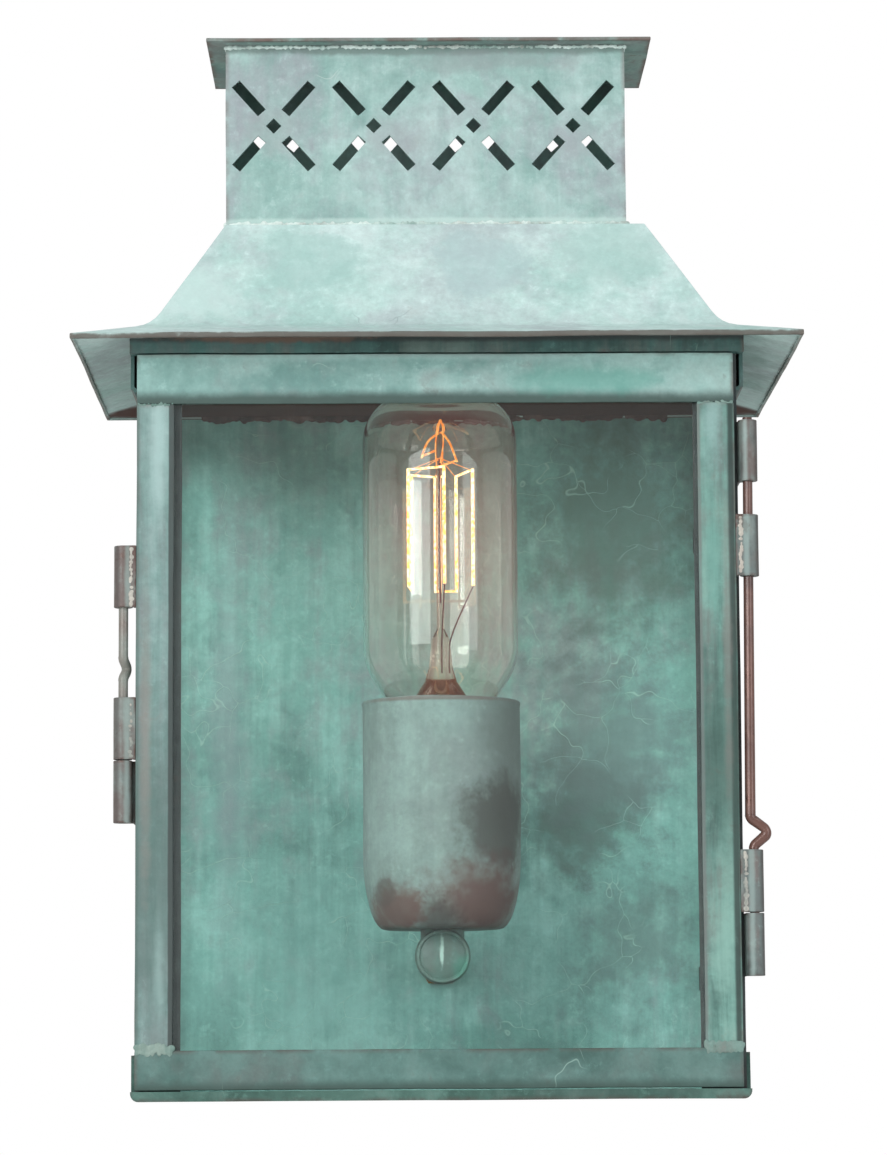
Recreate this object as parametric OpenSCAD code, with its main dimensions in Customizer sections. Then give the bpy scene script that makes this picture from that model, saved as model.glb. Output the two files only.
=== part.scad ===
// Wall lantern of folded and soldered sheet brass, with a hinged glazed door and a vented chimney.
// Origin: on the wall plane, in the middle of the back plate. +Y goes into the wall, +Z is up.

/* [Body] */
// Outer width of the fixed body, over the corner posts
body_w = 164.4; // [150:0.2:180]
// Depth from the wall to the front of the corner posts
body_d = 117.8; // [100:0.2:130]
// Height of the origin above the underside of the tray
origin_h = 104; // [100:0.5:110]
// Thickness of the brass sheet
sheet_t = 1.0; // [0.8:0.05:1.2]
// Width of the side leg of a corner post
post_leg = 11.5; // [9:0.1:14]
// Width of the jamb leg that shows inside the door's stile
jamb_leg = 12.2; // [11:0.1:15]

/* [Tray] */
// Height of the tray's side walls
tray_h = 12.4; // [10:0.1:16]
// Height of the tray's front lip, below the door
lip_h = 2.7; // [2:0.1:4]
// Radius of the tray's lower bends
tray_r = 2.2; // [1.5:0.1:3]

/* [Collar] */
// How far the collar stands out from the body on each side
collar_out = 1.9; // [1.6:0.1:3]
// How far the collar's side bands hang below the door's top
collar_drop = 9.8; // [6:0.1:14]

/* [Door] */
// How much narrower than the body the door is
door_trim = 1.2; // [1:0.1:4]
// Height of the door
door_h = 199.6; // [180:0.2:215]
// Depth of the door's folded edge
door_d = 3.4; // [3.1:0.1:3.6]
// How far the door hangs towards the latch
door_shift = 0.5; // [0:0.1:0.6]
// Height of the door's top rail
top_rail_h = 13.8; // [9:0.1:18]
// Height of the door's bottom rail
bottom_rail_h = 10.6; // [8:0.1:16]
// Width of the door's stiles
stile_w = 10.2; // [8:0.1:11]
// Thickness of the glass panes
glass_t = 1.8; // [1.6:0.1:2]

/* [Hinge and latch] */
// Diameter of the hinge rod and of the latch rod
rod_d = 2.6; // [2:0.1:3]
// Outer diameter of the rolled knuckles
knuckle_d = 5.2; // [4.8:0.1:5.4]
// Length of one knuckle
knuckle_l = 16.8; // [12:0.1:18]
// Radial clearance of a rod in its knuckle
rod_fit = 0.08; // [0.05:0.01:0.1]
// From the door's top down to the body's upper hinge knuckle
hinge_drop = 18.6; // [15:0.1:22]
// From the door's top down to its upper hinge knuckle
hinge_upper_drop = 44.7; // [40:0.1:50]
// From the door's foot up to where the two lower hinge knuckles meet
hinge_low_rise = 46.6; // [40:0.1:50]
// From the door's top down to the upper latch knuckle
latch_drop = 52.6; // [46:0.1:58]
// From the top of the upper latch knuckle down to where the lower one meets the keeper
latch_pitch = 58.4; // [56:0.1:64]
// How far the latch rod drops into its keeper
latch_throw = 4.5; // [3:0.1:6]
// How far the finger kink of the hinge rod stands out
hinge_kink = 3.7; // [2:0.1:3.8]
// Length of the hinge rod's kink
hinge_kink_l = 9; // [8:0.1:10]
// How far the finger kink of the latch rod stands back
latch_kink = 1.6; // [1:0.1:1.8]
// Length of the latch rod's kink
latch_kink_l = 6.4; // [6:0.1:8]

/* [Roof] */
// How far the eaves stand out from the body on each side
eave_over = 16.8; // [12:0.1:22]
// How far the eaves stand out in front of the corner posts
eave_front = 21.2; // [16:0.1:28]
// Height of the eaves' top edge above the door's top
eave_rise = 3.0; // [2.6:0.1:5]
// Width of the eaves' sloping flange in plan
flange_run = 20.5; // [17:0.1:24]
// Rise of the eaves' flange
flange_rise = 5.8; // [4:0.1:8]
// Height of the roof's steep slopes
slope_h = 32.9; // [25:0.1:45]
// Width of the roof's flat top outside the chimney
roof_top_rim = 2.5; // [2.5:0.1:5]
// Height of the turned hem along the eaves
hem_h = 1.4; // [1.2:0.1:2]
// Radius of the bend where slope and flange meet
foot_r = 4; // [2:0.5:6]

/* [Chimney] */
// Width of the chimney
chimney_w = 113; // [104:0.5:116]
// Depth of the chimney
chimney_d = 46; // [40:0.5:48]
// Height of the chimney
chimney_h = 52.3; // [40:0.1:60]
// How far the chimney stands off the middle, as soldered
chimney_shift = -2.5; // [-2.5:0.1:2.5]
// How far the cap stands out from the chimney's left and right sides
cap_over = 6.3; // [4:0.1:9]
// How far the cap stands out from the chimney's front and back
cap_front = 5; // [4:0.1:8]
// How far the cap stands off the middle, as soldered
cap_shift = -1.5; // [-3:0.1:3]
// Rise of the cap's shallow hip
cap_rise = 3; // [1:0.5:6]

/* [Vents] */
// Number of cross-shaped vents in the chimney's front and in its back
vent_count = 4; // [3:1:4]
// Depth of the vents' middle below the chimney's top
vent_drop = 23.3; // [20:0.1:26]
// Length of a vent's slot
slot_l = 11.2; // [7:0.1:12]
// Width of a vent's slot
slot_w = 3; // [1.5:0.1:3.3]
// Distance from a vent's middle to the inner end of its slots
slot_in = 5; // [4:0.1:6]
// Slope of the slots
slot_angle = 48.6; // [42:0.1:50]
// Side of the small diamond in a vent's middle
diamond = 3.15; // [2:0.05:3.5]
// How far the vents stand off the chimney's middle
vent_shift = -0.6; // [-1:0.1:1]

/* [Lamp] */
// Distance from the wall to the lamp's axis
lamp_y = 62; // [50:0.5:70]
// How far the lamp stands off the middle
lamp_shift = 1.2; // [-2:0.1:2]
// Height of the elbow's middle, and of the cable entry
elbow_z = -64.2; // [-75:0.1:-55]
// Diameter of the elbow's ball
elbow_d = 15.4; // [13:0.1:18]
// Outer diameter of the arm and of the cup's neck
arm_d = 10; // [9:0.1:11]
// Bore of the arm and of the threaded tube, for the wires
arm_bore = 7; // [5:0.1:7.4]
// Outer diameter of the cup
cup_d = 45; // [42:0.1:50]
// Height of the cup
cup_h = 64.7; // [58:0.1:72]
// Diameter of the flat bottom of the cup
cup_foot_d = 33; // [28:0.1:36]
// Height of the cup's curved lower part
cup_curve_h = 20; // [10:0.5:26]

/* [Bulb] */
// Diameter of the bulb
bulb_d = 44.4; // [40:0.1:46]
// Height of the bulb's top above the cup's rim
bulb_out = 87.7; // [70:0.1:92]
// Height of the bulb's rounded top
bulb_top_h = 11.5; // [8:0.1:14]
// Diameter of the flatter middle of the bulb's top
bulb_flat_d = 22; // [16:0.5:26]
// Height above the cup's rim at which the bulb starts to narrow
bulb_waist = 23; // [16:0.5:28]
// Wall of the bulb
bulb_t = 0.8; // [0.6:0.05:1]
// Radius of the filament's cage
cage_r = 10.3; // [8:0.1:11]
// Height of the filament's cage
cage_h = 33.5; // [24:0.5:38]
// Height of the cage's foot above the cup's rim
cage_foot = 33; // [28:0.1:36]

/* [Wall fixing] */
// Width of the hanging tab behind the roof
tab_w = 84; // [74:1:100]
// Height of the hanging tab above the eaves
tab_h = 27; // [24:0.5:34]
// Distance between the two keyholes
keyhole_pitch = 50; // [40:1:60]
// Diameter of a keyhole's round end
keyhole_d = 9; // [8:0.1:10]
// Width of a keyhole's slot
keyhole_slot = 4.6; // [4:0.1:5]
// Length of a keyhole's slot
keyhole_l = 7; // [5:0.5:9]

/* [Hidden] */
$fn = 64;

// Clearances
gap = 0.3;          // between pieces that move past each other
seat = 0.1;         // between pieces that lie on each other
eps = 0.02;         // by which a cutter passes the face it cuts
strip_t = 1.1;      // sheet of the knuckles
tail_t = 0.8;       // knuckle tail, beaten thinner
clip_t = 0.6;       // sheet of the glass clips
clip_h = 7;         // height of a glass clip
clip_reach = 5;     // how far a clip laps the glass
side_clip_low = 30; // height of the lower side clips above the floor
side_clip_top = 40; // depth of the upper side clips below the door's top
door_clip_in = 24;  // distance of the door's outer clips from its ends
tab_r = 6;          // corner radius of the hanging tab
foot_turn = 1;      // overlap of the tab with the back plate
tail_l = 8.5;       // reach of a body knuckle's tail along the side
edge_gap = 0.8;     // between the door's folded edge and the posts
latch_stand = 0.9;  // between the door's edge and the latch's knuckles
bend_r = 1.6;       // radius of the bends in the rods' kinks
ledge = 6;          // width of the roof's flat top round the flue
rod_head = 0.8;     // by which the hinge rod stands above its top knuckle

// Heights
tray_z = -origin_h;
floor_z = tray_z + sheet_t;
door_z0 = tray_z + lip_h + gap;
door_z1 = door_z0 + door_h;
hinge_top_z = door_z1 - hinge_drop;
hinge_upper_z = door_z1 - hinge_upper_drop;
hinge_low_z = door_z0 + hinge_low_rise;
latch_top_z = door_z1 - latch_drop;
latch_low_z = latch_top_z - latch_pitch;
eave_z = door_z1 + eave_rise;
fold_z = eave_z + flange_rise;
roof_top_z = fold_z + slope_h;
chimney_z1 = roof_top_z + chimney_h;

// Plan
half_w = body_w / 2;
door_w = body_w - door_trim;
post_y = -body_d;
door_back_y = post_y - edge_gap;
door_front_y = door_back_y - door_d;
door_x0 = -door_w / 2 - door_shift;
door_x1 = door_w / 2 - door_shift;
lip_y = door_front_y - gap;
eave_w = body_w + 2 * eave_over;
eave_d = body_d + eave_front - sheet_t - gap;
roof_y = -(sheet_t + gap + eave_d / 2);
roof_top_w = chimney_w + 2 * roof_top_rim;
roof_top_d = chimney_d + 2 * roof_top_rim;
slope_run_x = eave_w / 2 - flange_run - roof_top_w / 2;
slope_run_y = eave_d / 2 - flange_run - roof_top_d / 2;
cap_w = chimney_w + 2 * cap_over;
cap_d = chimney_d + 2 * cap_front;
vent_pitch = chimney_w / vent_count;
flange_fall = flange_rise / flange_run;
flange_lean = sqrt(1 + flange_fall * flange_fall);

// Hinge and latch axes
knuckle_r = knuckle_d / 2;
rod_r = rod_d / 2;
axis_y = door_front_y + knuckle_r;
hinge_x = half_w + knuckle_r + seat;
latch_x = door_x0 - knuckle_r - latch_stand;

// Lamp
cup_z0 = elbow_z + elbow_d / 2;
cup_z1 = cup_z0 + cup_h;
thread_d = arm_d;
nut_h = 3.2;        // nuts on the arm and on the tube
nut_r = 7.2;
thread_in = 3.2;    // by which the threaded tube enters the elbow
thread_l = thread_in + sheet_t + nut_h + gap + 5;
bush_l = 8;         // rubber bush in the cable entry
holder_z0 = cup_z0 + sheet_t + nut_h + gap;
holder_r = cup_d / 2 - sheet_t - 1.6;
base_r = 13.1;      // bulb's screw cap
base_h = 24;
neck_r = base_r - 0.4;   // bulb's glass neck, inside its cap
bulb_foot_z = cup_z1 - 6;
base_z0 = bulb_foot_z - base_h;
stem_r = 2.6;       // bulb's glass mount, above its press
stem_flare = 0.8;   // by which the mount is wider at its press
rod_glass_r = 1.1;  // slim glass rod that carries the hooks
wire_r = 0.35;
cage_z0 = cup_z1 + cage_foot;
cage_z1 = cage_z0 + cage_h;
head_z = cage_z1 + 12;   // head of the slim rod, with its ring of hooks
rod_z0 = cup_z1 + 21;    // foot of the slim rod
// Directions of the filament's upright runs, counted from +X
cage_angles = [205, 278, 342, 28, 72, 112, 152];

verdigris = "#7FB5A6";
pale = "#BFE0D6";
deep = "#4F8C80";
brown = "#7A5548";
clear = [0.85, 0.93, 0.92, 0.3];

function unit(v) = v / norm(v);

// Normal of the mitre plane at a point of a route
function mitre(route, i) =
    let (last = len(route) - 1)
    i == 0 ? unit(route[1] - route[0])
        : i == last ? unit(route[last] - route[last - 1])
        : unit(unit(route[i] - route[i - 1]) + unit(route[i + 1] - route[i]));

function first_ring(route, r, sides) =
    let (
        d = unit(route[1] - route[0]),
        u = unit(cross(d, abs(d[2]) > 0.9 ? [1, 0, 0] : [0, 0, 1])),
        w = cross(d, u)
    )
    [for (k = [0 : sides - 1]) route[0] + r * (cos(360 * k / sides) * u + sin(360 * k / sides) * w)];

// Rings along a route: each is the last one slid along the run to the next mitre plane
function next_rings(route, ring, i) =
    i >= len(route) ? []
        : let (
            d = unit(route[i] - route[i - 1]),
            n = mitre(route, i),
            slid = [for (q = ring) q + d * (((route[i] - q) * n) / (d * n))]
        )
        concat([slid], next_rings(route, slid, i + 1));

// Wire of constant thickness along a route of points
module wire(route, r, sides = 8) {
    start = first_ring(route, r, sides);
    rings = concat([start], next_rings(route, start, 1));
    n = len(rings);
    polyhedron(
        [for (ring = rings) each ring],
        concat(
            [[for (k = [0 : sides - 1]) k]],
            [[for (k = [sides - 1 : -1 : 0]) (n - 1) * sides + k]],
            [
                for (i = [0 : n - 2])
                    for (k = [0 : sides - 1])
                        let (e = (k + 1) % sides)
                            [i * sides + k, (i + 1) * sides + k, (i + 1) * sides + e, i * sides + e]
            ]
        )
    );
}

// Block given by its lowest and highest corners
module block(low, high) {
    translate(low) cube(high - low);
}

// Sheet cut to an outline in X and Z, standing across Y
module upright(y0, y1) {
    translate([0, y1, 0]) rotate([90, 0, 0]) linear_extrude(y1 - y0) children();
}

// Rectangle with its lower corners rounded
module tray_outline(w, h, r) {
    translate([-w / 2, r]) square([w, h - r]);
    translate([-w / 2 + r, 0]) square([w - 2 * r, h]);
    for (s = [-1, 1])
        translate([s * (w / 2 - r), r]) circle(r = r);
}

// Closed sheet section carried round a rectangle: each point is [inset in X, inset in Y, height]
module ring_loft(w, d, section) {
    n = len(section);
    corners = [
        for (s = section)
            each [
                [-w / 2 + s[0], -d / 2 + s[1], s[2]], [w / 2 - s[0], -d / 2 + s[1], s[2]],
                [w / 2 - s[0], d / 2 - s[1], s[2]], [-w / 2 + s[0], d / 2 - s[1], s[2]]
            ]
    ];
    polyhedron(corners, [
        for (i = [0 : n - 1])
            for (c = [0 : 3])
                let (j = (i + 1) % n, e = (c + 1) % 4)
                    [4 * i + c, 4 * j + c, 4 * j + e, 4 * i + e]
    ]);
}

// Slab of the eaves' plan, taken in by an inset
module eave_slab(inset, z0, z1) {
    translate([-eave_w / 2 + inset, -eave_d / 2 + inset, z0])
        cube([eave_w - 2 * inset, eave_d - 2 * inset, z1 - z0]);
}

// Space below the eaves' flange, with the seat's clearance
module under_flange() {
    low_z = eave_z - hem_h - seat;
    hem_in = sheet_t + seat;
    hem_z = eave_z - sheet_t * flange_lean - seat + hem_in * flange_fall;
    fold_under = hem_z + (flange_run - hem_in) * flange_fall;
    translate([0, roof_y, 0]) {
        hull() {
            eave_slab(hem_in, low_z - eps, hem_z);
            eave_slab(flange_run, fold_under - eps, fold_under);
        }
        translate([0, gap + sheet_t, 0]) eave_slab(0, tray_z, low_z);
    }
}

// What fits between the tray's walls, as an outline across Y
module body_outline(h) {
    translate([0, floor_z]) tray_outline(body_w, h, tray_r - sheet_t);
}

module back_plate() {
    key_z = eave_z + tab_h - keyhole_d;
    tall = eave_z - floor_z;
    color(verdigris) {
        difference() {
            upright(-sheet_t, 0) {
                body_outline(tall);
                translate([-tab_w / 2, floor_z + tall - foot_turn]) square([tab_w, tab_h + foot_turn - tab_r]);
                translate([-tab_w / 2 + tab_r, floor_z + tall]) square([tab_w - 2 * tab_r, tab_h]);
                for (s = [-1, 1])
                    translate([s * (tab_w / 2 - tab_r), floor_z + tall + tab_h - tab_r]) circle(r = tab_r);
            }
            translate([lamp_shift, eps, elbow_z])
                rotate([90, 0, 0]) cylinder(d = thread_d + 2 * seat, h = sheet_t + 2 * eps);
            for (s = [-1, 1])
                translate([s * keyhole_pitch / 2, eps, key_z - keyhole_l]) rotate([90, 0, 0]) {
                    cylinder(d = keyhole_d, h = sheet_t + 2 * eps);
                    translate([-keyhole_slot / 2, 0, 0]) cube([keyhole_slot, keyhole_l, sheet_t + 2 * eps]);
                    translate([0, keyhole_l, 0]) cylinder(d = keyhole_slot, h = sheet_t + 2 * eps);
                }
        }
        // side returns, folded forward
        intersection() {
            for (s = [-1, 1])
                translate([s * (half_w - sheet_t / 2), 0, 0])
                    block([-sheet_t / 2, -post_leg, floor_z], [sheet_t / 2, -sheet_t + eps, eave_z]);
            under_flange();
            upright(-post_leg, 0) body_outline(tall);
        }
    }
}

// Angle at a front corner: one leg on the body's side, the other behind the door's stile
module front_post() {
    color(verdigris)
        intersection() {
            union() {
                block([half_w - sheet_t, post_y, floor_z], [half_w, post_y + post_leg, fold_z]);
                block([half_w - jamb_leg, post_y, floor_z], [half_w, post_y + sheet_t, fold_z]);
            }
            under_flange();
            upright(post_y, post_y + post_leg) body_outline(fold_z - floor_z);
        }
}

module front_post_left() {
    mirror([1, 0, 0]) front_post();
}

module front_post_right() {
    front_post();
}

// Band that carries the roof: a strip over the door, and side bands with their lower edge turned in
module top_collar() {
    skin_x = half_w + collar_out;
    low = door_z1 - collar_drop;
    chamfer = 1;
    color(verdigris)
        intersection() {
            union() {
                for (s = [0, 1])
                    mirror([s, 0, 0])
                        upright(post_y, -sheet_t - seat)
                            polygon([
                                [half_w, low], [skin_x - chamfer, low], [skin_x, low + chamfer],
                                [skin_x, fold_z], [skin_x - sheet_t, fold_z],
                                [skin_x - sheet_t, low + chamfer + sheet_t / 2],
                                [skin_x - chamfer - sheet_t / 2, low + sheet_t], [half_w, low + sheet_t]
                            ]);
                block([-skin_x, lip_y, door_z1 + gap], [skin_x, lip_y + sheet_t, fold_z]);
                for (s = [0, 1])
                    mirror([s, 0, 0])
                        block([half_w + seat, lip_y, door_z1 + gap], [skin_x, post_y + eps, fold_z]);
                block([-half_w, lip_y, door_z1 + gap], [half_w, post_y - seat, door_z1 + gap + sheet_t]);
            }
            under_flange();
        }
}

// Folded tray: floor, two side walls and a low lip under the door
module bottom_tray() {
    tray_w = body_w + 2 * sheet_t;
    color(deep) {
        difference() {
            translate([0, 0, tray_z]) upright(lip_y, 0) tray_outline(tray_w, tray_h, tray_r);
            translate([0, 0, floor_z])
                upright(lip_y + sheet_t, eps)
                    tray_outline(body_w, tray_h + 1, tray_r - sheet_t);
            block([-tray_w, lip_y - 1, tray_z + lip_h], [tray_w, post_y, tray_z + tray_h + 1]);
            // the back plate stands on the floor at the open back
            block([-half_w, -sheet_t - seat, floor_z - eps], [half_w, eps, tray_z + tray_h + 1]);
        }
    }
}

function bend_point(a, b, c, t) = (1 - t) * (1 - t) * a + 2 * t * (1 - t) * b + t * t * c;

// Outer line of the roof's section, from the eaves to the flat top
function roof_line() =
    let (
        lip = 1 - foot_r / flange_run,
        rise = foot_r / slope_h,
        a = [flange_run * lip, flange_run * lip, eave_z + flange_rise * lip],
        b = [flange_run, flange_run, fold_z],
        c = [flange_run + slope_run_x * rise, flange_run + slope_run_y * rise, fold_z + foot_r]
    )
    concat(
        [[0, 0, eave_z]],
        [for (t = [0 : 0.25 : 1]) bend_point(a, b, c, t)],
        [[flange_run + slope_run_x, flange_run + slope_run_y, roof_top_z]]
    );

// The same line on the inner side of the sheet
function inner_line(line, t) = [
    for (i = [0 : len(line) - 1])
        let (
            a = line[max(i - 1, 0)],
            b = line[min(i + 1, len(line) - 1)],
            run = b[0] - a[0],
            rise = b[2] - a[2],
            len = sqrt(run * run + rise * rise)
        )
        line[i] + [t * rise / len, t * rise / len, -t * run / len]
];

// Hipped roof with flared eaves, pressed from one sheet and open to the chimney
module roof() {
    outer = roof_line();
    inner = inner_line(outer, sheet_t);
    last = len(outer) - 1;
    top = outer[last];
    ledge_x = top[0] + ledge;
    ledge_y = top[1] + ledge;
    lean = sheet_t * (norm([slope_run_x, slope_h]) - slope_run_x) / slope_h;
    section = concat(
        [[0, 0, eave_z - hem_h]],
        outer,
        [[ledge_x, ledge_y, roof_top_z], [ledge_x, ledge_y, roof_top_z - sheet_t]],
        [[top[0] + lean, top[1] + lean, roof_top_z - sheet_t]],
        [for (i = [last - 1 : -1 : 1]) inner[i]],
        [[sheet_t, sheet_t, eave_z - sheet_t * flange_lean + sheet_t * flange_fall]],
        [[sheet_t, sheet_t, eave_z - hem_h]]
    );
    color(pale) translate([0, roof_y, 0]) ring_loft(eave_w, eave_d, section);
}

// One cross-shaped vent, cut through the chimney's front and back
module vent() {
    deep_cut = chimney_d + 2;
    rotate([0, 45, 0]) cube([diamond, deep_cut, diamond], center = true);
    for (a = [slot_angle, 180 - slot_angle, 180 + slot_angle, -slot_angle])
        rotate([0, -a, 0])
            translate([slot_in, -deep_cut / 2, -slot_w / 2]) cube([slot_l, deep_cut, slot_w]);
}

module chimney() {
    color(pale)
        translate([chimney_shift, roof_y, 0])
            difference() {
                translate([-chimney_w / 2, -chimney_d / 2, roof_top_z])
                    cube([chimney_w, chimney_d, chimney_h]);
                translate([-chimney_w / 2 + sheet_t, -chimney_d / 2 + sheet_t, roof_top_z - eps])
                    cube([chimney_w - 2 * sheet_t, chimney_d - 2 * sheet_t, chimney_h + 2 * eps]);
                for (i = [0 : vent_count - 1])
                    translate([vent_shift + (i - (vent_count - 1) / 2) * vent_pitch, 0, chimney_z1 - vent_drop])
                        vent();
            }
}

// Shallow hipped lid with a flat border that rests on the chimney
module chimney_cap() {
    border = (cap_d - chimney_d) / 2 + sheet_t;
    ridge = (cap_w - cap_d) / 2;
    color(pale)
        translate([cap_shift, roof_y, chimney_z1]) {
            difference() {
                translate([-cap_w / 2, -cap_d / 2, 0]) cube([cap_w, cap_d, sheet_t]);
                translate([-cap_w / 2 + border, -cap_d / 2 + border, -eps])
                    cube([cap_w - 2 * border, cap_d - 2 * border, sheet_t + 2 * eps]);
            }
            difference() {
                cap_hip(border - eps, ridge, 0, sheet_t);
                cap_hip(border + sheet_t / 2, ridge, -1, 0);
            }
        }
}

// Low hip over the cap's middle, from a base slab between two heights
module cap_hip(border, ridge, base_z, rise_z) {
    hull() {
        translate([-cap_w / 2 + border, -cap_d / 2 + border, base_z])
            cube([cap_w - 2 * border, cap_d - 2 * border, rise_z - base_z]);
        translate([-ridge, -0.5, base_z]) cube([2 * ridge, 1, rise_z - base_z + cap_rise]);
    }
}

// Pane inside the posts; it stands on the tray's floor
module side_glass() {
    color(clear)
        block(
            [half_w - sheet_t - gap - glass_t, post_y + sheet_t + clip_t + gap, floor_z + seat],
            [half_w - sheet_t - gap, -sheet_t - clip_t - gap, door_z1 + gap]
        );
}

module side_glass_left() {
    mirror([1, 0, 0]) side_glass();
}

module side_glass_right() {
    side_glass();
}

// Lug that laps the inner face of a side pane; it is soldered to the sheet at y
module side_clip(y, dir, z) {
    lug_x = half_w - sheet_t - gap - glass_t - seat - clip_t;
    y0 = min(y, y + dir * clip_t);
    y1 = min(y, y + dir * clip_reach);
    translate([lug_x, y0, z]) cube([half_w - sheet_t - lug_x, clip_t, clip_h]);
    translate([lug_x, y1, z]) cube([clip_t, clip_reach, clip_h]);
}

module side_glass_clips() {
    color(deep)
        for (s = [0, 1], z = [floor_z + side_clip_low, door_z1 - side_clip_top])
            mirror([s, 0, 0]) {
                side_clip(post_y + sheet_t, 1, z);
                side_clip(-sheet_t, -1, z);
            }
}

// Knuckle rolled from a strip round the rod, with its tail at the front or at the back
module knuckle(axis_x, z0, edge_x, front) {
    dir = axis_x > edge_x ? 1 : -1;
    strip_y = front ? axis_y - knuckle_r : axis_y + knuckle_r - strip_t;
    tail_y = front ? door_back_y - gap : axis_y + knuckle_r + tail_l;
    color(verdigris)
        difference() {
            union() {
                translate([axis_x, axis_y, z0]) cylinder(r = knuckle_r, h = knuckle_l);
                block(
                    [min(edge_x, axis_x), strip_y, z0],
                    [max(edge_x, axis_x), strip_y + strip_t, z0 + knuckle_l]
                );
                block(
                    [min(edge_x, edge_x + dir * tail_t), strip_y, z0],
                    [max(edge_x, edge_x + dir * tail_t), tail_y, z0 + knuckle_l]
                );
            }
            translate([axis_x, axis_y, z0 - eps]) cylinder(r = rod_r + rod_fit, h = knuckle_l + 2 * eps);
        }
}

module hinge_knuckle_top() {
    knuckle(hinge_x, hinge_top_z - knuckle_l, half_w, false);
}

module hinge_knuckle_bottom() {
    knuckle(hinge_x, hinge_low_z - gap / 2 - knuckle_l, half_w, false);
}

module latch_keeper() {
    knuckle(latch_x, latch_low_z - gap / 2 - knuckle_l, -half_w, false);
}

module door_hinge_upper() {
    knuckle(hinge_x, hinge_upper_z - knuckle_l, door_x1, true);
}

module door_hinge_lower() {
    knuckle(hinge_x, hinge_low_z + gap / 2, door_x1, true);
}

module door_latch_upper() {
    knuckle(latch_x, latch_top_z - knuckle_l, door_x0, true);
}

module door_latch_lower() {
    knuckle(latch_x, latch_low_z + gap / 2, door_x0, true);
}

// Points of a kink, as [reach, height]: a bend out, a straight flank, a bend at the tip, and back
function kink_points(length, reach) =
    let (
        half = length / 2,
        flat = reach - 2 * bend_r,
        lean = atan2(flat, half) + asin(2 * bend_r / norm([half, flat])),
        steps = 5,
        bend = [for (i = [0 : steps]) let (a = lean * i / steps) [bend_r * (1 - cos(a)), bend_r * sin(a)]],
        rise = concat(bend, [for (i = [steps : -1 : 0]) [reach, half] - bend[i]])
    )
    concat(rise, [for (i = [len(rise) - 2 : -1 : 0]) [rise[i][0], length - rise[i][1]]]);

// Rod with a finger kink in it, from kink_z up; kink is its sideways reach as a vector
module kinked_rod(x, z0, z1, kink_z, kink_l, kink) {
    kink_r = rod_r * 1.05;
    points = kink_points(kink_l, norm(kink));
    bend = [for (q = points) [x, axis_y, kink_z + q[1]] + q[0] * unit(kink)];
    ends = [[x, axis_y, kink_z - seat], [x, axis_y, kink_z + kink_l + seat]];
    color(brown) {
        translate([x, axis_y, z0]) cylinder(r = rod_r, h = kink_z - z0);
        wire(concat([ends[0]], bend, [ends[1]]), kink_r, 16);
        translate([x, axis_y, kink_z + kink_l]) cylinder(r = rod_r, h = z1 - kink_z - kink_l);
    }
}

module hinge_pin() {
    kink_z = hinge_low_z + gap / 2 + knuckle_l + gap;
    foot_z = hinge_low_z - gap / 2 - knuckle_l;
    kinked_rod(
        hinge_x, foot_z, hinge_top_z + rod_head, kink_z, hinge_kink_l, [hinge_kink, 0, 0]
    );
}

module latch_pin() {
    tip_z = latch_low_z + gap / 2;
    kink_z = latch_low_z + gap / 2 + knuckle_l + gap + latch_throw;
    kinked_rod(
        latch_x, tip_z, latch_top_z - knuckle_l / 3, kink_z, latch_kink_l, [latch_kink / 2, latch_kink, 0]
    );
}

// Folded strip of the door's frame: a face and an edge turned back; the outline gives both
module door_strip(low, high, edge_low, edge_high) {
    color(verdigris) {
        block([low[0], door_front_y, low[1]], [high[0], door_front_y + tail_t, high[1]]);
        block([edge_low[0], door_front_y, edge_low[1]], [edge_high[0], door_back_y, edge_high[1]]);
    }
}

module door_rail(z0, z1, edge_z) {
    door_strip([door_x0, z0], [door_x1, z1], [door_x0, edge_z], [door_x1, edge_z + tail_t]);
    for (x = [door_x0, door_x1 - tail_t])
        door_strip([x, z0], [x + tail_t, z1], [x, z0], [x + tail_t, z1]);
}

module door_top_rail() {
    door_rail(door_z1 - top_rail_h, door_z1, door_z1 - tail_t);
}

module door_bottom_rail() {
    door_rail(door_z0, door_z0 + bottom_rail_h, door_z0);
}

module door_left_stile() {
    z0 = door_z0 + bottom_rail_h;
    z1 = door_z1 - top_rail_h;
    door_strip([door_x0, z0], [door_x0 + stile_w, z1], [door_x0, z0], [door_x0 + tail_t, z1]);
}

module door_right_stile() {
    z0 = door_z0 + bottom_rail_h;
    z1 = door_z1 - top_rail_h;
    door_strip([door_x1 - stile_w, z0], [door_x1, z1], [door_x1 - tail_t, z0], [door_x1, z1]);
}

module door_glass() {
    edge = tail_t + clip_t + gap;
    y0 = door_front_y + tail_t + seat;
    color(clear)
        block(
            [door_x0 + edge, y0, door_z0 + tail_t + gap],
            [door_x1 - edge, y0 + glass_t, door_z1 - tail_t - gap]
        );
}

module door_glass_clips() {
    y0 = door_front_y + tail_t;
    lap_y = y0 + seat + glass_t + seat;
    lap_t = 0.4;
    color(deep)
        for (z = [door_z0 + door_clip_in, (door_z0 + door_z1 - clip_h) / 2, door_z1 - door_clip_in - clip_h]) {
            for (s = [0, 1]) {
                x = s == 0 ? door_x0 + tail_t : door_x1 - tail_t - clip_t;
                lap_x = s == 0 ? x : x + clip_t - clip_reach;
                block([x, y0, z], [x + clip_t, lap_y + lap_t, z + clip_h]);
                block([lap_x, lap_y, z], [lap_x + clip_reach, lap_y + lap_t, z + clip_h]);
            }
        }
}

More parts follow.
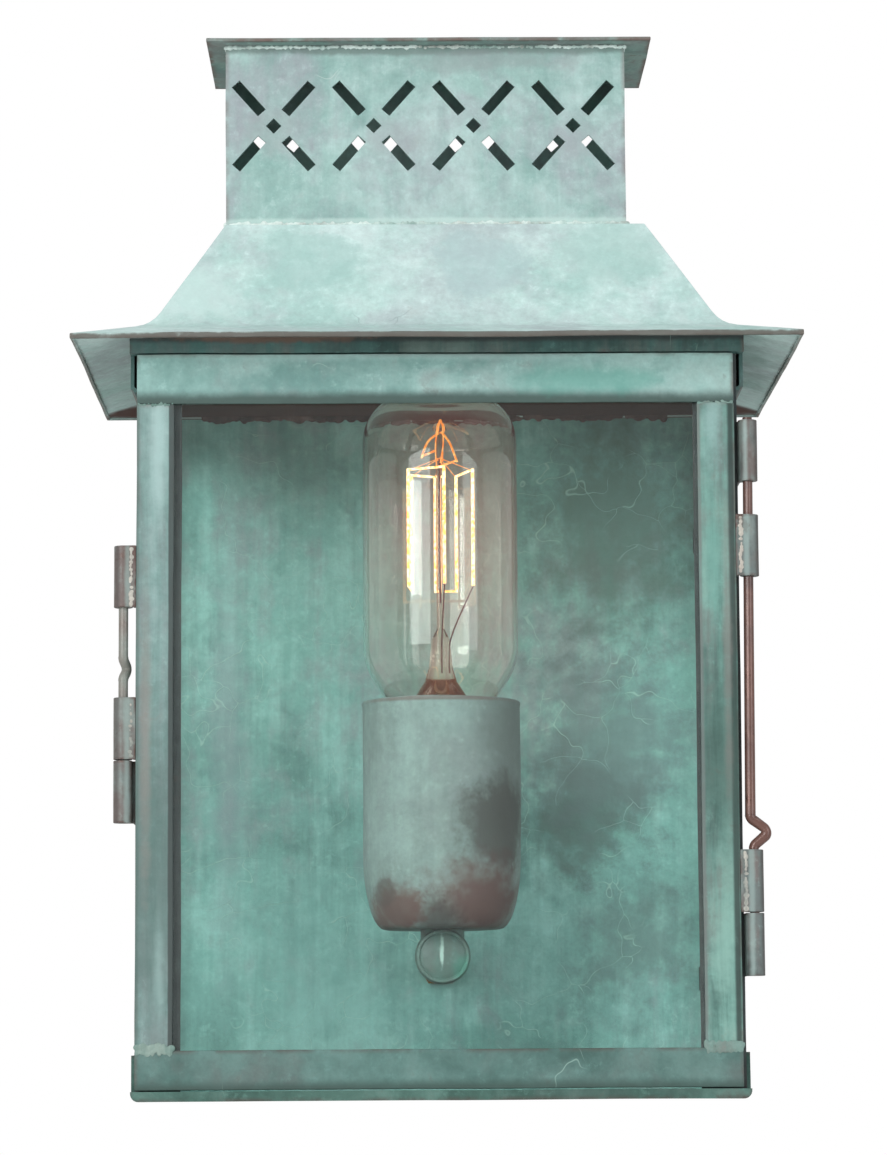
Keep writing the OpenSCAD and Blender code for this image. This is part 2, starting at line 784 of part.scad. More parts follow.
// Arm from the back plate to the ball elbow under the cup, bored for the wires
module holder_arm() {
    neck = 1.2;
    color(verdigris)
        translate([lamp_shift, -lamp_y, elbow_z])
            difference() {
                union() {
                    sphere(d = elbow_d);
                    rotate([-90, 0, 0]) cylinder(d = arm_d, h = lamp_y);
                    cylinder(d = arm_d + 2 * neck, h = elbow_d / 2 - seat);
                }
                rotate([-90, 0, 0]) cylinder(d = arm_bore, h = lamp_y + eps);
                cylinder(d = arm_bore, h = elbow_d);
                translate([0, 0, elbow_d / 2 - thread_in - seat]) cylinder(d = thread_d + 2 * seat, h = 6);
            }
}

// Hexagon nut on a thread along Z
module hex_nut(r, hole, h) {
    difference() {
        cylinder(r = r, h = h, $fn = 6);
        translate([0, 0, -eps]) cylinder(d = hole + 2 * seat, h = h + 2 * eps);
    }
}

module arm_nut() {
    color(brown)
        translate([lamp_shift, -sheet_t - seat, elbow_z])
            rotate([90, 0, 0]) hex_nut(nut_r, arm_d, nut_h);
}

module holder_tube() {
    color(brown)
        translate([lamp_shift, -lamp_y, cup_z0 - thread_in])
            difference() {
                cylinder(d = thread_d, h = thread_l);
                translate([0, 0, -eps]) cylinder(d = arm_bore, h = thread_l + 2 * eps);
            }
}

module holder_nut() {
    color(brown)
        translate([lamp_shift, -lamp_y, cup_z0 + sheet_t + seat]) hex_nut(nut_r, thread_d, nut_h);
}

// Line of the cup's side, from the rim down and round to the flat foot, at a given inset
function cup_line(inset) =
    let (
        r = cup_d / 2 - inset,
        foot = cup_foot_d / 2,
        steps = 8
    )
    concat(
        [[r, cup_h], [r, cup_curve_h]],
        [
            for (i = [1 : steps])
                let (a = 90 * i / steps)
                [foot + (r - foot) * cos(a), cup_curve_h - (cup_curve_h - inset) * sin(a)]
        ]
    );

module holder_cup() {
    outer = cup_line(0);
    inner = cup_line(sheet_t);
    hole = thread_d / 2 + seat;
    color(verdigris)
        translate([lamp_shift, -lamp_y, cup_z0])
            rotate_extrude()
                polygon(concat(
                    outer, [[hole, 0], [hole, sheet_t]],
                    [for (i = [len(inner) - 1 : -1 : 0]) inner[i]]
                ));
}

// Rubber bush in the arm's wall end, through which the supply enters
module cable_bush() {
    color("#2A2A28")
        translate([lamp_shift, -0.2, elbow_z])
            rotate([90, 0, 0])
                difference() {
                    cylinder(d = arm_bore - seat, h = bush_l);
                    translate([0, 0, -eps]) cylinder(d = arm_bore - 2.4, h = bush_l + 2 * eps);
                }
}

// Ceramic body of the lampholder, with a socket for the bulb's cap
module lampholder() {
    h = cup_z1 - 8 - holder_z0;
    socket_z = base_z0 - 3.2 - holder_z0;
    color("#EDEBE4")
        translate([lamp_shift, -lamp_y, holder_z0])
            difference() {
                union() {
                    cylinder(r = holder_r - 1.5, h = h);
                    translate([0, 0, 2]) cylinder(r = holder_r, h = h - 4);
                }
                translate([0, 0, socket_z]) cylinder(r = base_r + 1.6, h = h);
                translate([0, 0, -eps]) cylinder(d = thread_d + 2 * seat, h = 6);
                for (s = [-1, 1])
                    translate([s * 7.5, 0, -eps]) cylinder(d = 2.4, h = socket_z + 2 * eps);
            }
}

// Threaded brass sleeve in the socket
module lampholder_shell() {
    color("#C9A85A")
        translate([lamp_shift, -lamp_y, base_z0 - 2.4])
            difference() {
                cylinder(r = base_r + 1.3, h = base_h);
                translate([0, 0, -eps]) cylinder(r = base_r + 0.35, h = base_h + 2 * eps);
            }
}

module lampholder_contact() {
    color("#C9A85A")
        translate([lamp_shift, -lamp_y, base_z0 - 3.1]) {
            cylinder(r = 4, h = 0.5);
            translate([0, 0, 0.5]) cylinder(r1 = 3, r2 = 1.6, h = 0.9);
        }
}

// Earth tag and its screw, soldered to the back plate behind the cup
module earth_terminal() {
    color("#B89A5A")
        translate([lamp_shift, -sheet_t, elbow_z + 16]) {
            translate([-5, -0.9, -4]) cube([10, 0.9, 8]);
            rotate([90, 0, 0]) {
                translate([0, 0, 0.9]) cylinder(d = 3.4, h = 3.2);
                translate([0, 0, 4.1])
                    difference() {
                        cylinder(d = 6.4, h = 2);
                        translate([-4, -0.5, 1.2]) cube([8, 1, 2]);
                    }
            }
        }
}

// Line of the bulb's wall from the neck to the top, at a given inset
function bulb_line(inset) =
    let (
        r = bulb_d / 2 - inset,
        flat = bulb_flat_d / 2,
        neck = neck_r - inset,
        top = bulb_out - inset,
        shoulder = bulb_out - bulb_top_h,
        foot = bulb_foot_z - cup_z1 + (inset > 0 ? -eps : 0),
        steps = 10
    )
    concat(
        [[neck, foot]],
        [
            for (i = [0 : steps])
                let (t = i / steps, s = t * t * (3 - 2 * t))
                [neck + (r - neck) * s, foot + 3 + (bulb_waist - foot - 3) * t]
        ],
        [
            for (i = [0 : steps])
                let (a = 90 * i / steps)
                [flat + (r - flat) * cos(a), shoulder + (top - 1.2 - shoulder) * sin(a)]
        ],
        [[flat * 0.6, top - 0.35], [0, top]]
    );

module bulb_glass() {
    outer = bulb_line(0);
    inner = bulb_line(bulb_t);
    color(clear)
        translate([lamp_shift, -lamp_y, cup_z1])
            rotate_extrude()
                polygon(concat(outer, [for (i = [len(inner) - 1 : -1 : 0]) inner[i]]));
}

module bulb_cap() {
    lip_r = base_r - 0.2;
    color("#C9C2AE")
        translate([lamp_shift, -lamp_y, 0])
            rotate_extrude()
                polygon([
                    [lip_r, bulb_foot_z + 2.4], [base_r, bulb_foot_z + 2], [base_r, base_z0 + 3.4],
                    [6, base_z0 + 0.6], [5.6, base_z0 + 1.2], [base_r - 0.4, base_z0 + 3.8],
                    [base_r - 0.4, bulb_foot_z + 2.4]
                ]);
}

module bulb_insulator() {
    color("#26262A")
        translate([lamp_shift, -lamp_y, base_z0 - 0.4])
            difference() {
                cylinder(r1 = 3.4, r2 = 5.4, h = 1.8);
                translate([0, 0, -eps]) cylinder(r = 2.2, h = 4);
            }
}

module bulb_contact() {
    color("#C9C2AE")
        translate([lamp_shift, -lamp_y, base_z0 - 0.9]) cylinder(r = 2.1, h = 2.2);
}

// Glass mount: flared foot, pinched press and the slim rod that carries the hooks
module bulb_stem() {
    foot_r = neck_r - bulb_t - seat;
    color(clear)
        translate([lamp_shift, -lamp_y, 0])
            rotate_extrude()
                polygon([
                    [0, bulb_foot_z + 1], [foot_r, bulb_foot_z + 1], [foot_r - 1.6, bulb_foot_z + 3.5],
                    [4.6, cup_z1 + 6], [stem_r + stem_flare, cup_z1 + 10], [stem_r, cup_z1 + 18],
                    [rod_glass_r, rod_z0], [rod_glass_r, head_z - 1], [2, head_z + 0.4],
                    [1.4, head_z + 2], [0, head_z + 2.4]
                ]);
}

function cage_point(i, z) = [
    lamp_shift + cage_r * cos(cage_angles[i]), -lamp_y + cage_r * sin(cage_angles[i]), z
];

// Filament run up and down round the mount, from one lead to the other
module filament() {
    n = len(cage_angles);
    route = [
        for (i = [0 : n - 1])
            each i % 2 == 0
                ? [cage_point(i, cage_z0), cage_point(i, cage_z1)]
                : [cage_point(i, cage_z1), cage_point(i, cage_z0)]
    ];
    color("#FFB347") wire(route, wire_r);
}

// Fine hooks from the head and the waist of the mount to the filament's bends
module filament_hooks() {
    hook_r = 0.2;
    reach = cage_r - wire_r - hook_r - seat;
    color("#8A7F70")
        for (i = [0 : len(cage_angles) - 1]) {
            a = cage_angles[i];
            out = [reach * cos(a), reach * sin(a), 0];
            low = [2.35 * cos(a), 2.35 * sin(a), 0];
            rod = [1.5 * cos(a), 1.5 * sin(a), 0];
            base = [lamp_shift, -lamp_y, 0];
            wire(
                [base + low + [0, 0, head_z], base + 0.6 * out + [0, 0, cage_z1 + 7], base + out + [0, 0, cage_z1]],
                hook_r
            );
            if (i > 0 && i < len(cage_angles) - 1)
                wire([base + rod + [0, 0, rod_z0 + 2], base + out + [0, 0, cage_z0]], hook_r);
        }
}

// Lead wires from the press to the two ends of the filament
module lead_wires() {
    lead_r = 0.25;
    foot_out = stem_r + stem_flare + 2 * lead_r;
    color("#8A7F70")
        for (i = [0, len(cage_angles) - 1]) {
            a = cage_angles[i];
            foot = [lamp_shift + foot_out * cos(a), -lamp_y + foot_out * sin(a), cup_z1 + 14];
            end = cage_point(i, cage_z0 - wire_r - lead_r);
            wire([foot - [0, 0, 4], foot, end], lead_r);
        }
}

back_plate();
front_post_left();
front_post_right();
top_collar();
bottom_tray();
roof();
chimney();
chimney_cap();
side_glass_left();
side_glass_right();
side_glass_clips();
hinge_knuckle_top();
hinge_knuckle_bottom();
latch_keeper();
holder_arm();
arm_nut();
holder_tube();
holder_nut();
holder_cup();
cable_bush();
lampholder();
lampholder_shell();
lampholder_contact();
earth_terminal();
bulb_glass();
bulb_cap();
bulb_insulator();
bulb_contact();
bulb_stem();
filament();
filament_hooks();
lead_wires();
door_top_rail();
door_bottom_rail();
door_left_stile();
door_right_stile();
door_glass();
door_glass_clips();
door_hinge_upper();
door_hinge_lower();
door_latch_upper();
door_latch_lower();
hinge_pin();
latch_pin();
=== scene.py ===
"""Looks of the wall lantern: verdigris sheet brass, solder, glass and a glowing filament bulb.

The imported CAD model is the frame. Its sheets are dressed with softened edges and a hand-beaten
surface; solder, rods, the bulb and the elbow are modelled here over the CAD solids.
"""

import logging
import math
import random
from dataclasses import dataclass, field
from enum import Enum, IntEnum

import bpy
from mathutils import Matrix, Vector, noise


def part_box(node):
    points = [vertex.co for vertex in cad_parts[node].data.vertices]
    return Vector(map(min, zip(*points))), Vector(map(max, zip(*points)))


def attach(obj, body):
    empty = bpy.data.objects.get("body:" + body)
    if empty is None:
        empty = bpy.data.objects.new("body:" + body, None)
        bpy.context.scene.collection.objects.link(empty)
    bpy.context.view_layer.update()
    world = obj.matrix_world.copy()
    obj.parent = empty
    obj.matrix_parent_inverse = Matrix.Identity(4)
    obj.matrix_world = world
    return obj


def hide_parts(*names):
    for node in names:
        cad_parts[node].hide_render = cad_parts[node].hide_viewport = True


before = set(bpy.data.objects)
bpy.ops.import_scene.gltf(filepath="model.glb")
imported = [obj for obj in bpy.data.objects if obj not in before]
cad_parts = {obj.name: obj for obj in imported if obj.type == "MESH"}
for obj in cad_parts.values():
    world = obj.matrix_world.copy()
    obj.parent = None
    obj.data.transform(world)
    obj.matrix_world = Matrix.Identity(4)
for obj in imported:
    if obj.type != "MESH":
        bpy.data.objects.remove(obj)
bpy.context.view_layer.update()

MM = 0.001
LOG = logging.getLogger("wall_lantern")

Point = tuple[float, float, float]
Pair = tuple[float, float]
Colour = tuple[float, float, float, float]


def linear(code: str) -> Colour:
    """Turns a hex colour into Blender's linear colour.

    Args:
        code: Colour as "#RRGGBB".

    Returns:
        The colour as linear red, green, blue and alpha.
    """
    def channel(byte: int) -> float:
        """Linear value of one byte."""
        c = byte / 255
        return c / 12.92 if c <= 0.04045 else ((c + 0.055) / 1.055) ** 2.4

    return (*(channel(int(code[i : i + 2], 16)) for i in (1, 3, 5)), 1.0)


def metres(point: Point) -> Point:
    """Turns a place or three sizes in mm into metres."""
    return tuple(c * MM for c in point)


# ---- shader building ----


@dataclass(frozen=True)
class Grain:
    """One noise: features per metre, octaves, roughness, and how far it bends coordinates (m)."""

    scale: float
    detail: float = 4
    rough: float = 0.55
    reach: float = 0.0


CLOUDS = Grain(24)
CLOUD_BEND = Grain(30, 3, 0.6, 0.016)
MOTTLING = Grain(105, 5, 0.62)
STREAKS = Grain(170, 5, 0.65)
STREAK_SWAY = Grain(14, 2, 0.5, 0.006)
STREAK_STRETCH = (1.0, 1.0, 0.05)
FINE_GRAIN = Grain(900, 3, 0.6)
SPECKS = Grain(330, 5, 0.7)
PATCH_EDGE = Grain(62, 5, 0.62)
PATCH_TEAR = Grain(240, 5, 0.7)
TEAR_WEIGHT = 0.6
CRACK_BEND = Grain(26, 3, 0.6, 0.05)
CRACK_PLACES = Grain(34, 2, 0.5)
CRACK_GATE, CRACK_GATE_FALL, CRACK_FADE = 0.78, 0.42, 0.07
HEAT_SPOTS = Grain(900, 2)
NOISE_MIDDLE = 0.5
MEAN_SHINE = 0.5
SEED_STEP = (3.7, 1.9, 2.3)
FACING_WINDOW = (0.1, 0.5)


class Ray(Enum):
    """Kinds of ray that a shader can be chosen for."""

    SHADOW = "Is Shadow Ray"
    CAMERA = "Is Camera Ray"


class Nodes:
    """A short hand for making and wiring the nodes of one node tree."""

    def __init__(self, tree: bpy.types.NodeTree) -> None:
        """Keeps the tree that the nodes go into."""
        self.tree = tree

    def add(self, kind: str, **settings: object) -> bpy.types.Node:
        """Adds a node.

        Args:
            kind: Blender's node type, without its "ShaderNode" front.
            **settings: Properties of the node.

        Returns:
            The new node.
        """
        node = self.tree.nodes.new("ShaderNode" + kind)
        for name, value in settings.items():
            setattr(node, name, value)
        return node

    def feed(self, socket: bpy.types.NodeSocket, value: object) -> None:
        """Links a socket to an input, or sets the input to a plain value.

        Args:
            socket: The input.
            value: A socket, a plain value, or None to leave the input as it is.
        """
        if isinstance(value, bpy.types.NodeSocket):
            self.tree.links.new(value, socket)
        elif value is not None:
            socket.default_value = value

    def math(self, operation: str, a: object, b: object, clamp: bool = False) -> bpy.types.NodeSocket:
        """Adds a Math node.

        Args:
            operation: Blender's name of the operation.
            a: First value or socket.
            b: Second value or socket.
            clamp: Whether the result is kept between 0 and 1.

        Returns:
            The result.
        """
        node = self.add("Math", operation=operation, use_clamp=clamp)
        self.feed(node.inputs[0], a)
        self.feed(node.inputs[1], b)
        return node.outputs[0]

    def plus(self, a: object, b: object, clamp: bool = False) -> bpy.types.NodeSocket:
        """Adds two values."""
        return self.math("ADD", a, b, clamp)

    def minus(self, a: object, b: object) -> bpy.types.NodeSocket:
        """Takes the second value from the first."""
        return self.math("SUBTRACT", a, b)

    def times(self, a: object, b: object, clamp: bool = False) -> bpy.types.NodeSocket:
        """Multiplies two values."""
        return self.math("MULTIPLY", a, b, clamp)

    def centred(self, value: object, weight: object) -> bpy.types.NodeSocket:
        """Moves a noise to swing about 0 and weighs it."""
        return self.times(self.minus(value, NOISE_MIDDLE), weight)

    def vector(self, operation: str, a: object, b: object = None) -> bpy.types.Node:
        """Adds a Vector Math node.

        Args:
            operation: Blender's name of the operation.
            a: First vector or socket.
            b: Second vector or socket, if the operation has one.

        Returns:
            The node.
        """
        node = self.add("VectorMath", operation=operation)
        self.feed(node.inputs[0], a)
        self.feed(node.inputs[1], b)
        return node

    def scaled(self, a: object, scale: object) -> bpy.types.NodeSocket:
        """Scales a vector or a colour.

        Args:
            a: The vector or colour.
            scale: Value or socket.

        Returns:
            The scaled vector.
        """
        node = self.vector("SCALE", a)
        self.feed(node.inputs["Scale"], scale)
        return node.outputs[0]

    def mix(self, factor: object, a: object, b: object) -> bpy.types.NodeSocket:
        """Mixes two colours.

        Args:
            factor: Share of the second colour.
            a: First colour or socket.
            b: Second colour or socket.

        Returns:
            The mixed colour.
        """
        node = self.add("Mix", data_type="RGBA")
        self.feed(node.inputs[0], factor)
        self.feed(node.inputs[6], a)
        self.feed(node.inputs[7], b)
        return node.outputs[2]

    def step(self, value: object, low: object, high: object) -> bpy.types.NodeSocket:
        """Adds a smooth step.

        Args:
            value: What is measured.
            low: Value at which the step is still 0.
            high: Value from which it is 1.

        Returns:
            The step.
        """
        node = self.add("MapRange", interpolation_type="SMOOTHSTEP")
        self.feed(node.inputs[0], value)
        self.feed(node.inputs[1], low)
        self.feed(node.inputs[2], high)
        return node.outputs[0]

    def noise(self, at: object, grain: Grain) -> bpy.types.Node:
        """Adds a 3-D noise texture.

        Args:
            at: Coordinates.
            grain: The noise's settings.

        Returns:
            The node, for its value and its colour.
        """
        node = self.add("TexNoise")
        self.feed(node.inputs["Vector"], at)
        self.feed(node.inputs["Scale"], grain.scale)
        self.feed(node.inputs["Detail"], grain.detail)
        self.feed(node.inputs["Roughness"], grain.rough)
        return node

    def bent(self, at: object, grain: Grain) -> bpy.types.NodeSocket:
        """Bends coordinates by a noise, so that what reads them wanders."""
        away = self.scaled(self.noise(at, grain).outputs["Color"], grain.reach)
        return self.vector("ADD", at, away).outputs[0]

    def split(self, value: object) -> list[bpy.types.NodeSocket]:
        """Splits a vector or colour into three values.

        Args:
            value: The vector or colour.

        Returns:
            The three values.
        """
        node = self.add("SeparateXYZ")
        self.feed(node.inputs[0], value)
        return list(node.outputs)

    def group(self, tree: bpy.types.NodeTree, **values: object) -> bpy.types.Node:
        """Places a node group and feeds its inputs.

        Args:
            tree: The node group.
            **values: Values by input name ("Light_share" feeds "Light share").

        Returns:
            The group's node.
        """
        node = self.add("Group", node_tree=tree)
        for name, value in values.items():
            self.feed(node.inputs[name.replace("_", " ")], value)
        return node

    def choose(
        self, ray: Ray, usual: bpy.types.NodeSocket, chosen: bpy.types.NodeSocket
    ) -> bpy.types.NodeSocket:
        """Chooses one shader for a kind of ray and another for all others.

        Args:
            ray: The kind of ray.
            usual: Shader for the other rays.
            chosen: Shader for the chosen rays.

        Returns:
            The mixed shader.
        """
        pick = self.add("MixShader")
        self.feed(pick.inputs[0], self.add("LightPath").outputs[ray.value])
        self.feed(pick.inputs[1], usual)
        self.feed(pick.inputs[2], chosen)
        return pick.outputs[0]


class Coating(Nodes):
    """The nodes of one new material, round its Principled shader."""

    def __init__(self, name: str) -> None:
        """Starts the material.

        Args:
            name: Name of the material.
        """
        self.material = bpy.data.materials.new(name)
        self.material.use_nodes = True
        super().__init__(self.material.node_tree)
        self.shader = self.tree.nodes["Principled BSDF"]

    def place(self) -> bpy.types.NodeSocket:
        """Place on the piece, in Object coordinates."""
        return self.add("TexCoord").outputs["Object"]

    def drive(self, **values: object) -> None:
        """Links or sets the shader's inputs ("Base_Color" stands for "Base Color")."""
        for name, value in values.items():
            self.feed(self.shader.inputs[name.replace("_", " ")], value)

    def bump(self, height: bpy.types.NodeSocket, strength: float, distance: float) -> None:
        """Raises the surface by a height.

        Args:
            height: The height.
            strength: Share of the bump that shows.
            distance: Height of the bump in mm.
        """
        node = self.add("Bump")
        node.inputs["Strength"].default_value = strength
        node.inputs["Distance"].default_value = distance * MM
        self.feed(node.inputs["Height"], height)
        self.drive(Normal=node.outputs[0])


def start_group(name: str, inputs: dict[str, str], outputs: dict[str, str]) -> tuple[Nodes, object, object]:
    """Starts a shader node group with named inputs and outputs.

    Args:
        name: Name of the group.
        inputs: Socket names and their kinds, such as {"Mask": "Float"}.
        outputs: The same for the outputs.

    Returns:
        The node maker, what the group is given and what it puts out.
    """
    tree = bpy.data.node_groups.new(name, "ShaderNodeTree")
    for in_out, sockets in (("INPUT", inputs), ("OUTPUT", outputs)):
        for label, kind in sockets.items():
            tree.interface.new_socket(label, in_out=in_out, socket_type="NodeSocket" + kind)
    given, out = tree.nodes.new("NodeGroupInput"), tree.nodes.new("NodeGroupOutput")
    return Nodes(tree), given.outputs, out.inputs


def box_rim_group() -> bpy.types.NodeTree:
    """Makes the group that masks what lies near the edges of a box.

    On a face of the box the nearest side is the face itself, so the second nearest side gives the
    distance to the edge.

    Returns:
        The node group.
    """
    make, given, out = start_group(
        "box_rim", {"Vector": "Vector", "Low": "Vector", "High": "Vector", "Reach": "Float"}, {"Mask": "Float"}
    )
    low = make.vector("SUBTRACT", given["Vector"], given["Low"]).outputs[0]
    high = make.vector("SUBTRACT", given["High"], given["Vector"]).outputs[0]
    x, y, z = make.split(make.vector("MINIMUM", low, high).outputs[0])
    lesser = make.math("MINIMUM", x, y)
    greater = make.math("MAXIMUM", x, y)
    second = make.math("MAXIMUM", lesser, make.math("MINIMUM", greater, z))
    make.feed(out["Mask"], make.minus(1.0, make.step(second, 0.0, given["Reach"])))
    return make.tree


def patch_group() -> bpy.types.NodeTree:
    """Makes the group that masks one ragged patch around a place.

    Returns:
        The node group.
    """
    make, given, out = start_group(
        "ragged_patch",
        {"Vector": "Vector", "Centre": "Vector", "Radii": "Vector", "Ragged": "Float", "Soft": "Float"},
        {"Mask": "Float"},
    )
    away = make.vector("SUBTRACT", given["Vector"], given["Centre"]).outputs[0]
    reach = make.vector("LENGTH", make.vector("DIVIDE", away, given["Radii"]).outputs[0]).outputs["Value"]
    broad = make.minus(make.noise(given["Vector"], PATCH_EDGE).outputs[0], NOISE_MIDDLE)
    torn = make.centred(make.noise(given["Vector"], PATCH_TEAR).outputs[0], TEAR_WEIGHT)
    edge = make.plus(reach, make.times(make.plus(broad, torn), given["Ragged"]))
    inner = make.minus(1.0, given["Soft"])
    make.feed(out["Mask"], make.minus(1.0, make.step(edge, inner, 1.0)))
    return make.tree


def hairline_group() -> bpy.types.NodeTree:
    """Makes the group that masks fine curved cracks and scratches in the patina.

    Returns:
        The node group.
    """
    make, given, out = start_group(
        "hairlines", {"Vector": "Vector", "Scale": "Float", "Width": "Float", "Share": "Float"}, {"Mask": "Float"}
    )
    cells = make.add("TexVoronoi", feature="DISTANCE_TO_EDGE")
    make.feed(cells.inputs["Vector"], make.bent(given["Vector"], CRACK_BEND))
    make.feed(cells.inputs["Scale"], given["Scale"])
    line = make.minus(1.0, make.step(cells.outputs["Distance"], 0.0, given["Width"]))
    where = make.noise(given["Vector"], CRACK_PLACES).outputs[0]
    gate = make.minus(CRACK_GATE, make.times(given["Share"], CRACK_GATE_FALL))
    some = make.step(where, gate, make.plus(gate, CRACK_FADE))
    make.feed(out["Mask"], make.times(line, some))
    return make.tree


PATINA_COLOURS = ("Main", "Light", "Deep", "Grey", "Brown")


@dataclass(frozen=True)
class PatinaGroup:
    """The group for weathered verdigris: clouds, mottling, streaks, speckle and worn rims.

    Each field is a weight of one noise or the window of values in which it fades in.
    """

    cloud: float = 0.52
    mottle: float = 0.3
    gate: float = 0.56
    gate_fall: float = 0.3
    soft_fall: float = 0.5
    least_fade: float = 0.03
    salts: float = 0.35
    salt_window: Pair = (0.56, 0.7)
    rim_window: Pair = (0.36, 0.58)
    fleck_window: Pair = (0.6, 0.68)
    fleck_specks: Pair = (0.44, 0.56)
    speck_shade: float = 0.5
    streak_shade: float = 1.1
    grain_shade: float = 0.22
    rough: float = 0.5
    rough_mottle: float = 0.3
    bare_gloss: float = 0.16
    crust_mottle: float = 0.6
    crust_specks: float = 0.5
    crust_grain: float = 0.12
    crust_streaks: float = 0.2
    bare_depth: float = 0.25

    def build(self) -> bpy.types.NodeTree:
        """Makes the node group.

        Returns:
            The node group.
        """
        inputs = {"Vector": "Vector", "Seed": "Vector"}
        inputs |= {name: "Color" for name in PATINA_COLOURS}
        inputs |= {f"{name} share": "Float" for name in PATINA_COLOURS[1:]}
        inputs |= {"Streak": "Float", "Soft": "Float", "Rim": "Float"}
        make, given, out = start_group(
            "verdigris", inputs, {"Color": "Color", "Roughness": "Float", "Height": "Float", "Bare": "Float"}
        )
        at = make.vector("ADD", given["Vector"], given["Seed"]).outputs[0]
        bent = make.bent(at, CLOUD_BEND)
        cloud = make.split(make.noise(bent, CLOUDS).outputs["Color"])
        mottle = make.split(make.noise(bent, MOTTLING).outputs["Color"])
        tall = make.vector("MULTIPLY", make.bent(at, STREAK_SWAY), STREAK_STRETCH).outputs[0]
        streak = make.split(make.noise(tall, STREAKS).outputs["Color"])
        grain = make.noise(at, FINE_GRAIN).outputs[0]
        speck = make.noise(at, SPECKS).outputs[0]

        def share(name: str, index: int) -> bpy.types.NodeSocket:
            """Masks one colour, from the clouds, the mottling and the streaks.

            Args:
                name: Name of the colour.
                index: Which of the noises' three values it reads.

            Returns:
                The mask.
            """
            value = make.plus(make.times(cloud[index], self.cloud), make.times(mottle[index], self.mottle))
            value = make.plus(value, make.centred(streak[index], given["Streak"]))
            gate = make.minus(self.gate, make.times(given[f"{name} share"], self.gate_fall))
            gate = make.minus(gate, make.times(given["Soft"], self.soft_fall))
            return make.step(value, gate, make.plus(gate, make.plus(given["Soft"], self.least_fade)))

        colour = make.mix(share("Deep", 0), given["Main"], given["Deep"])
        colour = make.mix(share("Light", 1), colour, given["Light"])
        colour = make.mix(share("Grey", 2), colour, given["Grey"])
        salts = make.times(make.step(speck, *self.salt_window), self.salts)
        colour = make.mix(salts, colour, given["Light"])
        rough_rim = make.times(given["Rim"], make.step(mottle[0], *self.rim_window))
        flecks = make.times(make.step(mottle[1], *self.fleck_window), make.step(speck, *self.fleck_specks))
        brown = make.times(make.plus(share("Brown", 1), flecks), given["Brown share"], clamp=True)
        brown = make.plus(brown, rough_rim, clamp=True)
        colour = make.mix(brown, colour, given["Brown"])
        shade = make.plus(make.centred(speck, self.speck_shade), 1.0)
        shade = make.plus(shade, make.times(make.centred(streak[1], given["Streak"]), self.streak_shade))
        shade = make.plus(shade, make.centred(grain, self.grain_shade))
        make.feed(out["Color"], make.scaled(colour, shade))
        rough = make.plus(self.rough, make.times(mottle[2], self.rough_mottle))
        make.feed(out["Roughness"], make.minus(rough, make.times(brown, self.bare_gloss)))
        crust = make.plus(make.times(mottle[1], self.crust_mottle), make.times(speck, self.crust_specks))
        crust = make.plus(crust, make.times(grain, self.crust_grain))
        crust = make.plus(crust, make.times(streak[0], self.crust_streaks))
        make.feed(out["Height"], make.minus(crust, make.times(brown, self.bare_depth)))
        make.feed(out["Bare"], brown)
        return make.tree


@dataclass(frozen=True)
class Effects:
    """The shader groups that all materials share."""

    rim: bpy.types.NodeTree
    patch: bpy.types.NodeTree
    hair: bpy.types.NodeTree
    patina: bpy.types.NodeTree


@dataclass(frozen=True)
class Patch:
    """One ragged patch of another colour, at a measured place on a sheet (mm); some are patina tones and stains,
    others painted shade, shadow or highlights.

    With facing, it lies only on faces that look that way.
    """

    centre: Point
    radii: Point
    colour: str
    strength: float = 0.6
    ragged: float = 1.2
    soft: float = 0.6
    facing: Point | None = None

    def lay(
        self, make: Coating, at: bpy.types.NodeSocket, colour: bpy.types.NodeSocket, effects: Effects
    ) -> bpy.types.NodeSocket:
        """Lays the patch over a colour.

        Args:
            make: The material's nodes.
            at: Place on the piece.
            colour: Colour under the patch.
            effects: The shared shader groups.

        Returns:
            The colour with the patch.
        """
        mask = make.group(
            effects.patch, Vector=at, Centre=metres(self.centre), Radii=metres(self.radii),
            Ragged=self.ragged, Soft=self.soft,
        )
        share = make.times(mask.outputs[0], self.strength)
        if self.facing:
            towards = make.vector("DOT_PRODUCT", make.add("TexCoord").outputs["Normal"], self.facing)
            share = make.times(share, make.step(towards.outputs["Value"], *FACING_WINDOW))
        return make.mix(share, colour, linear(self.colour))


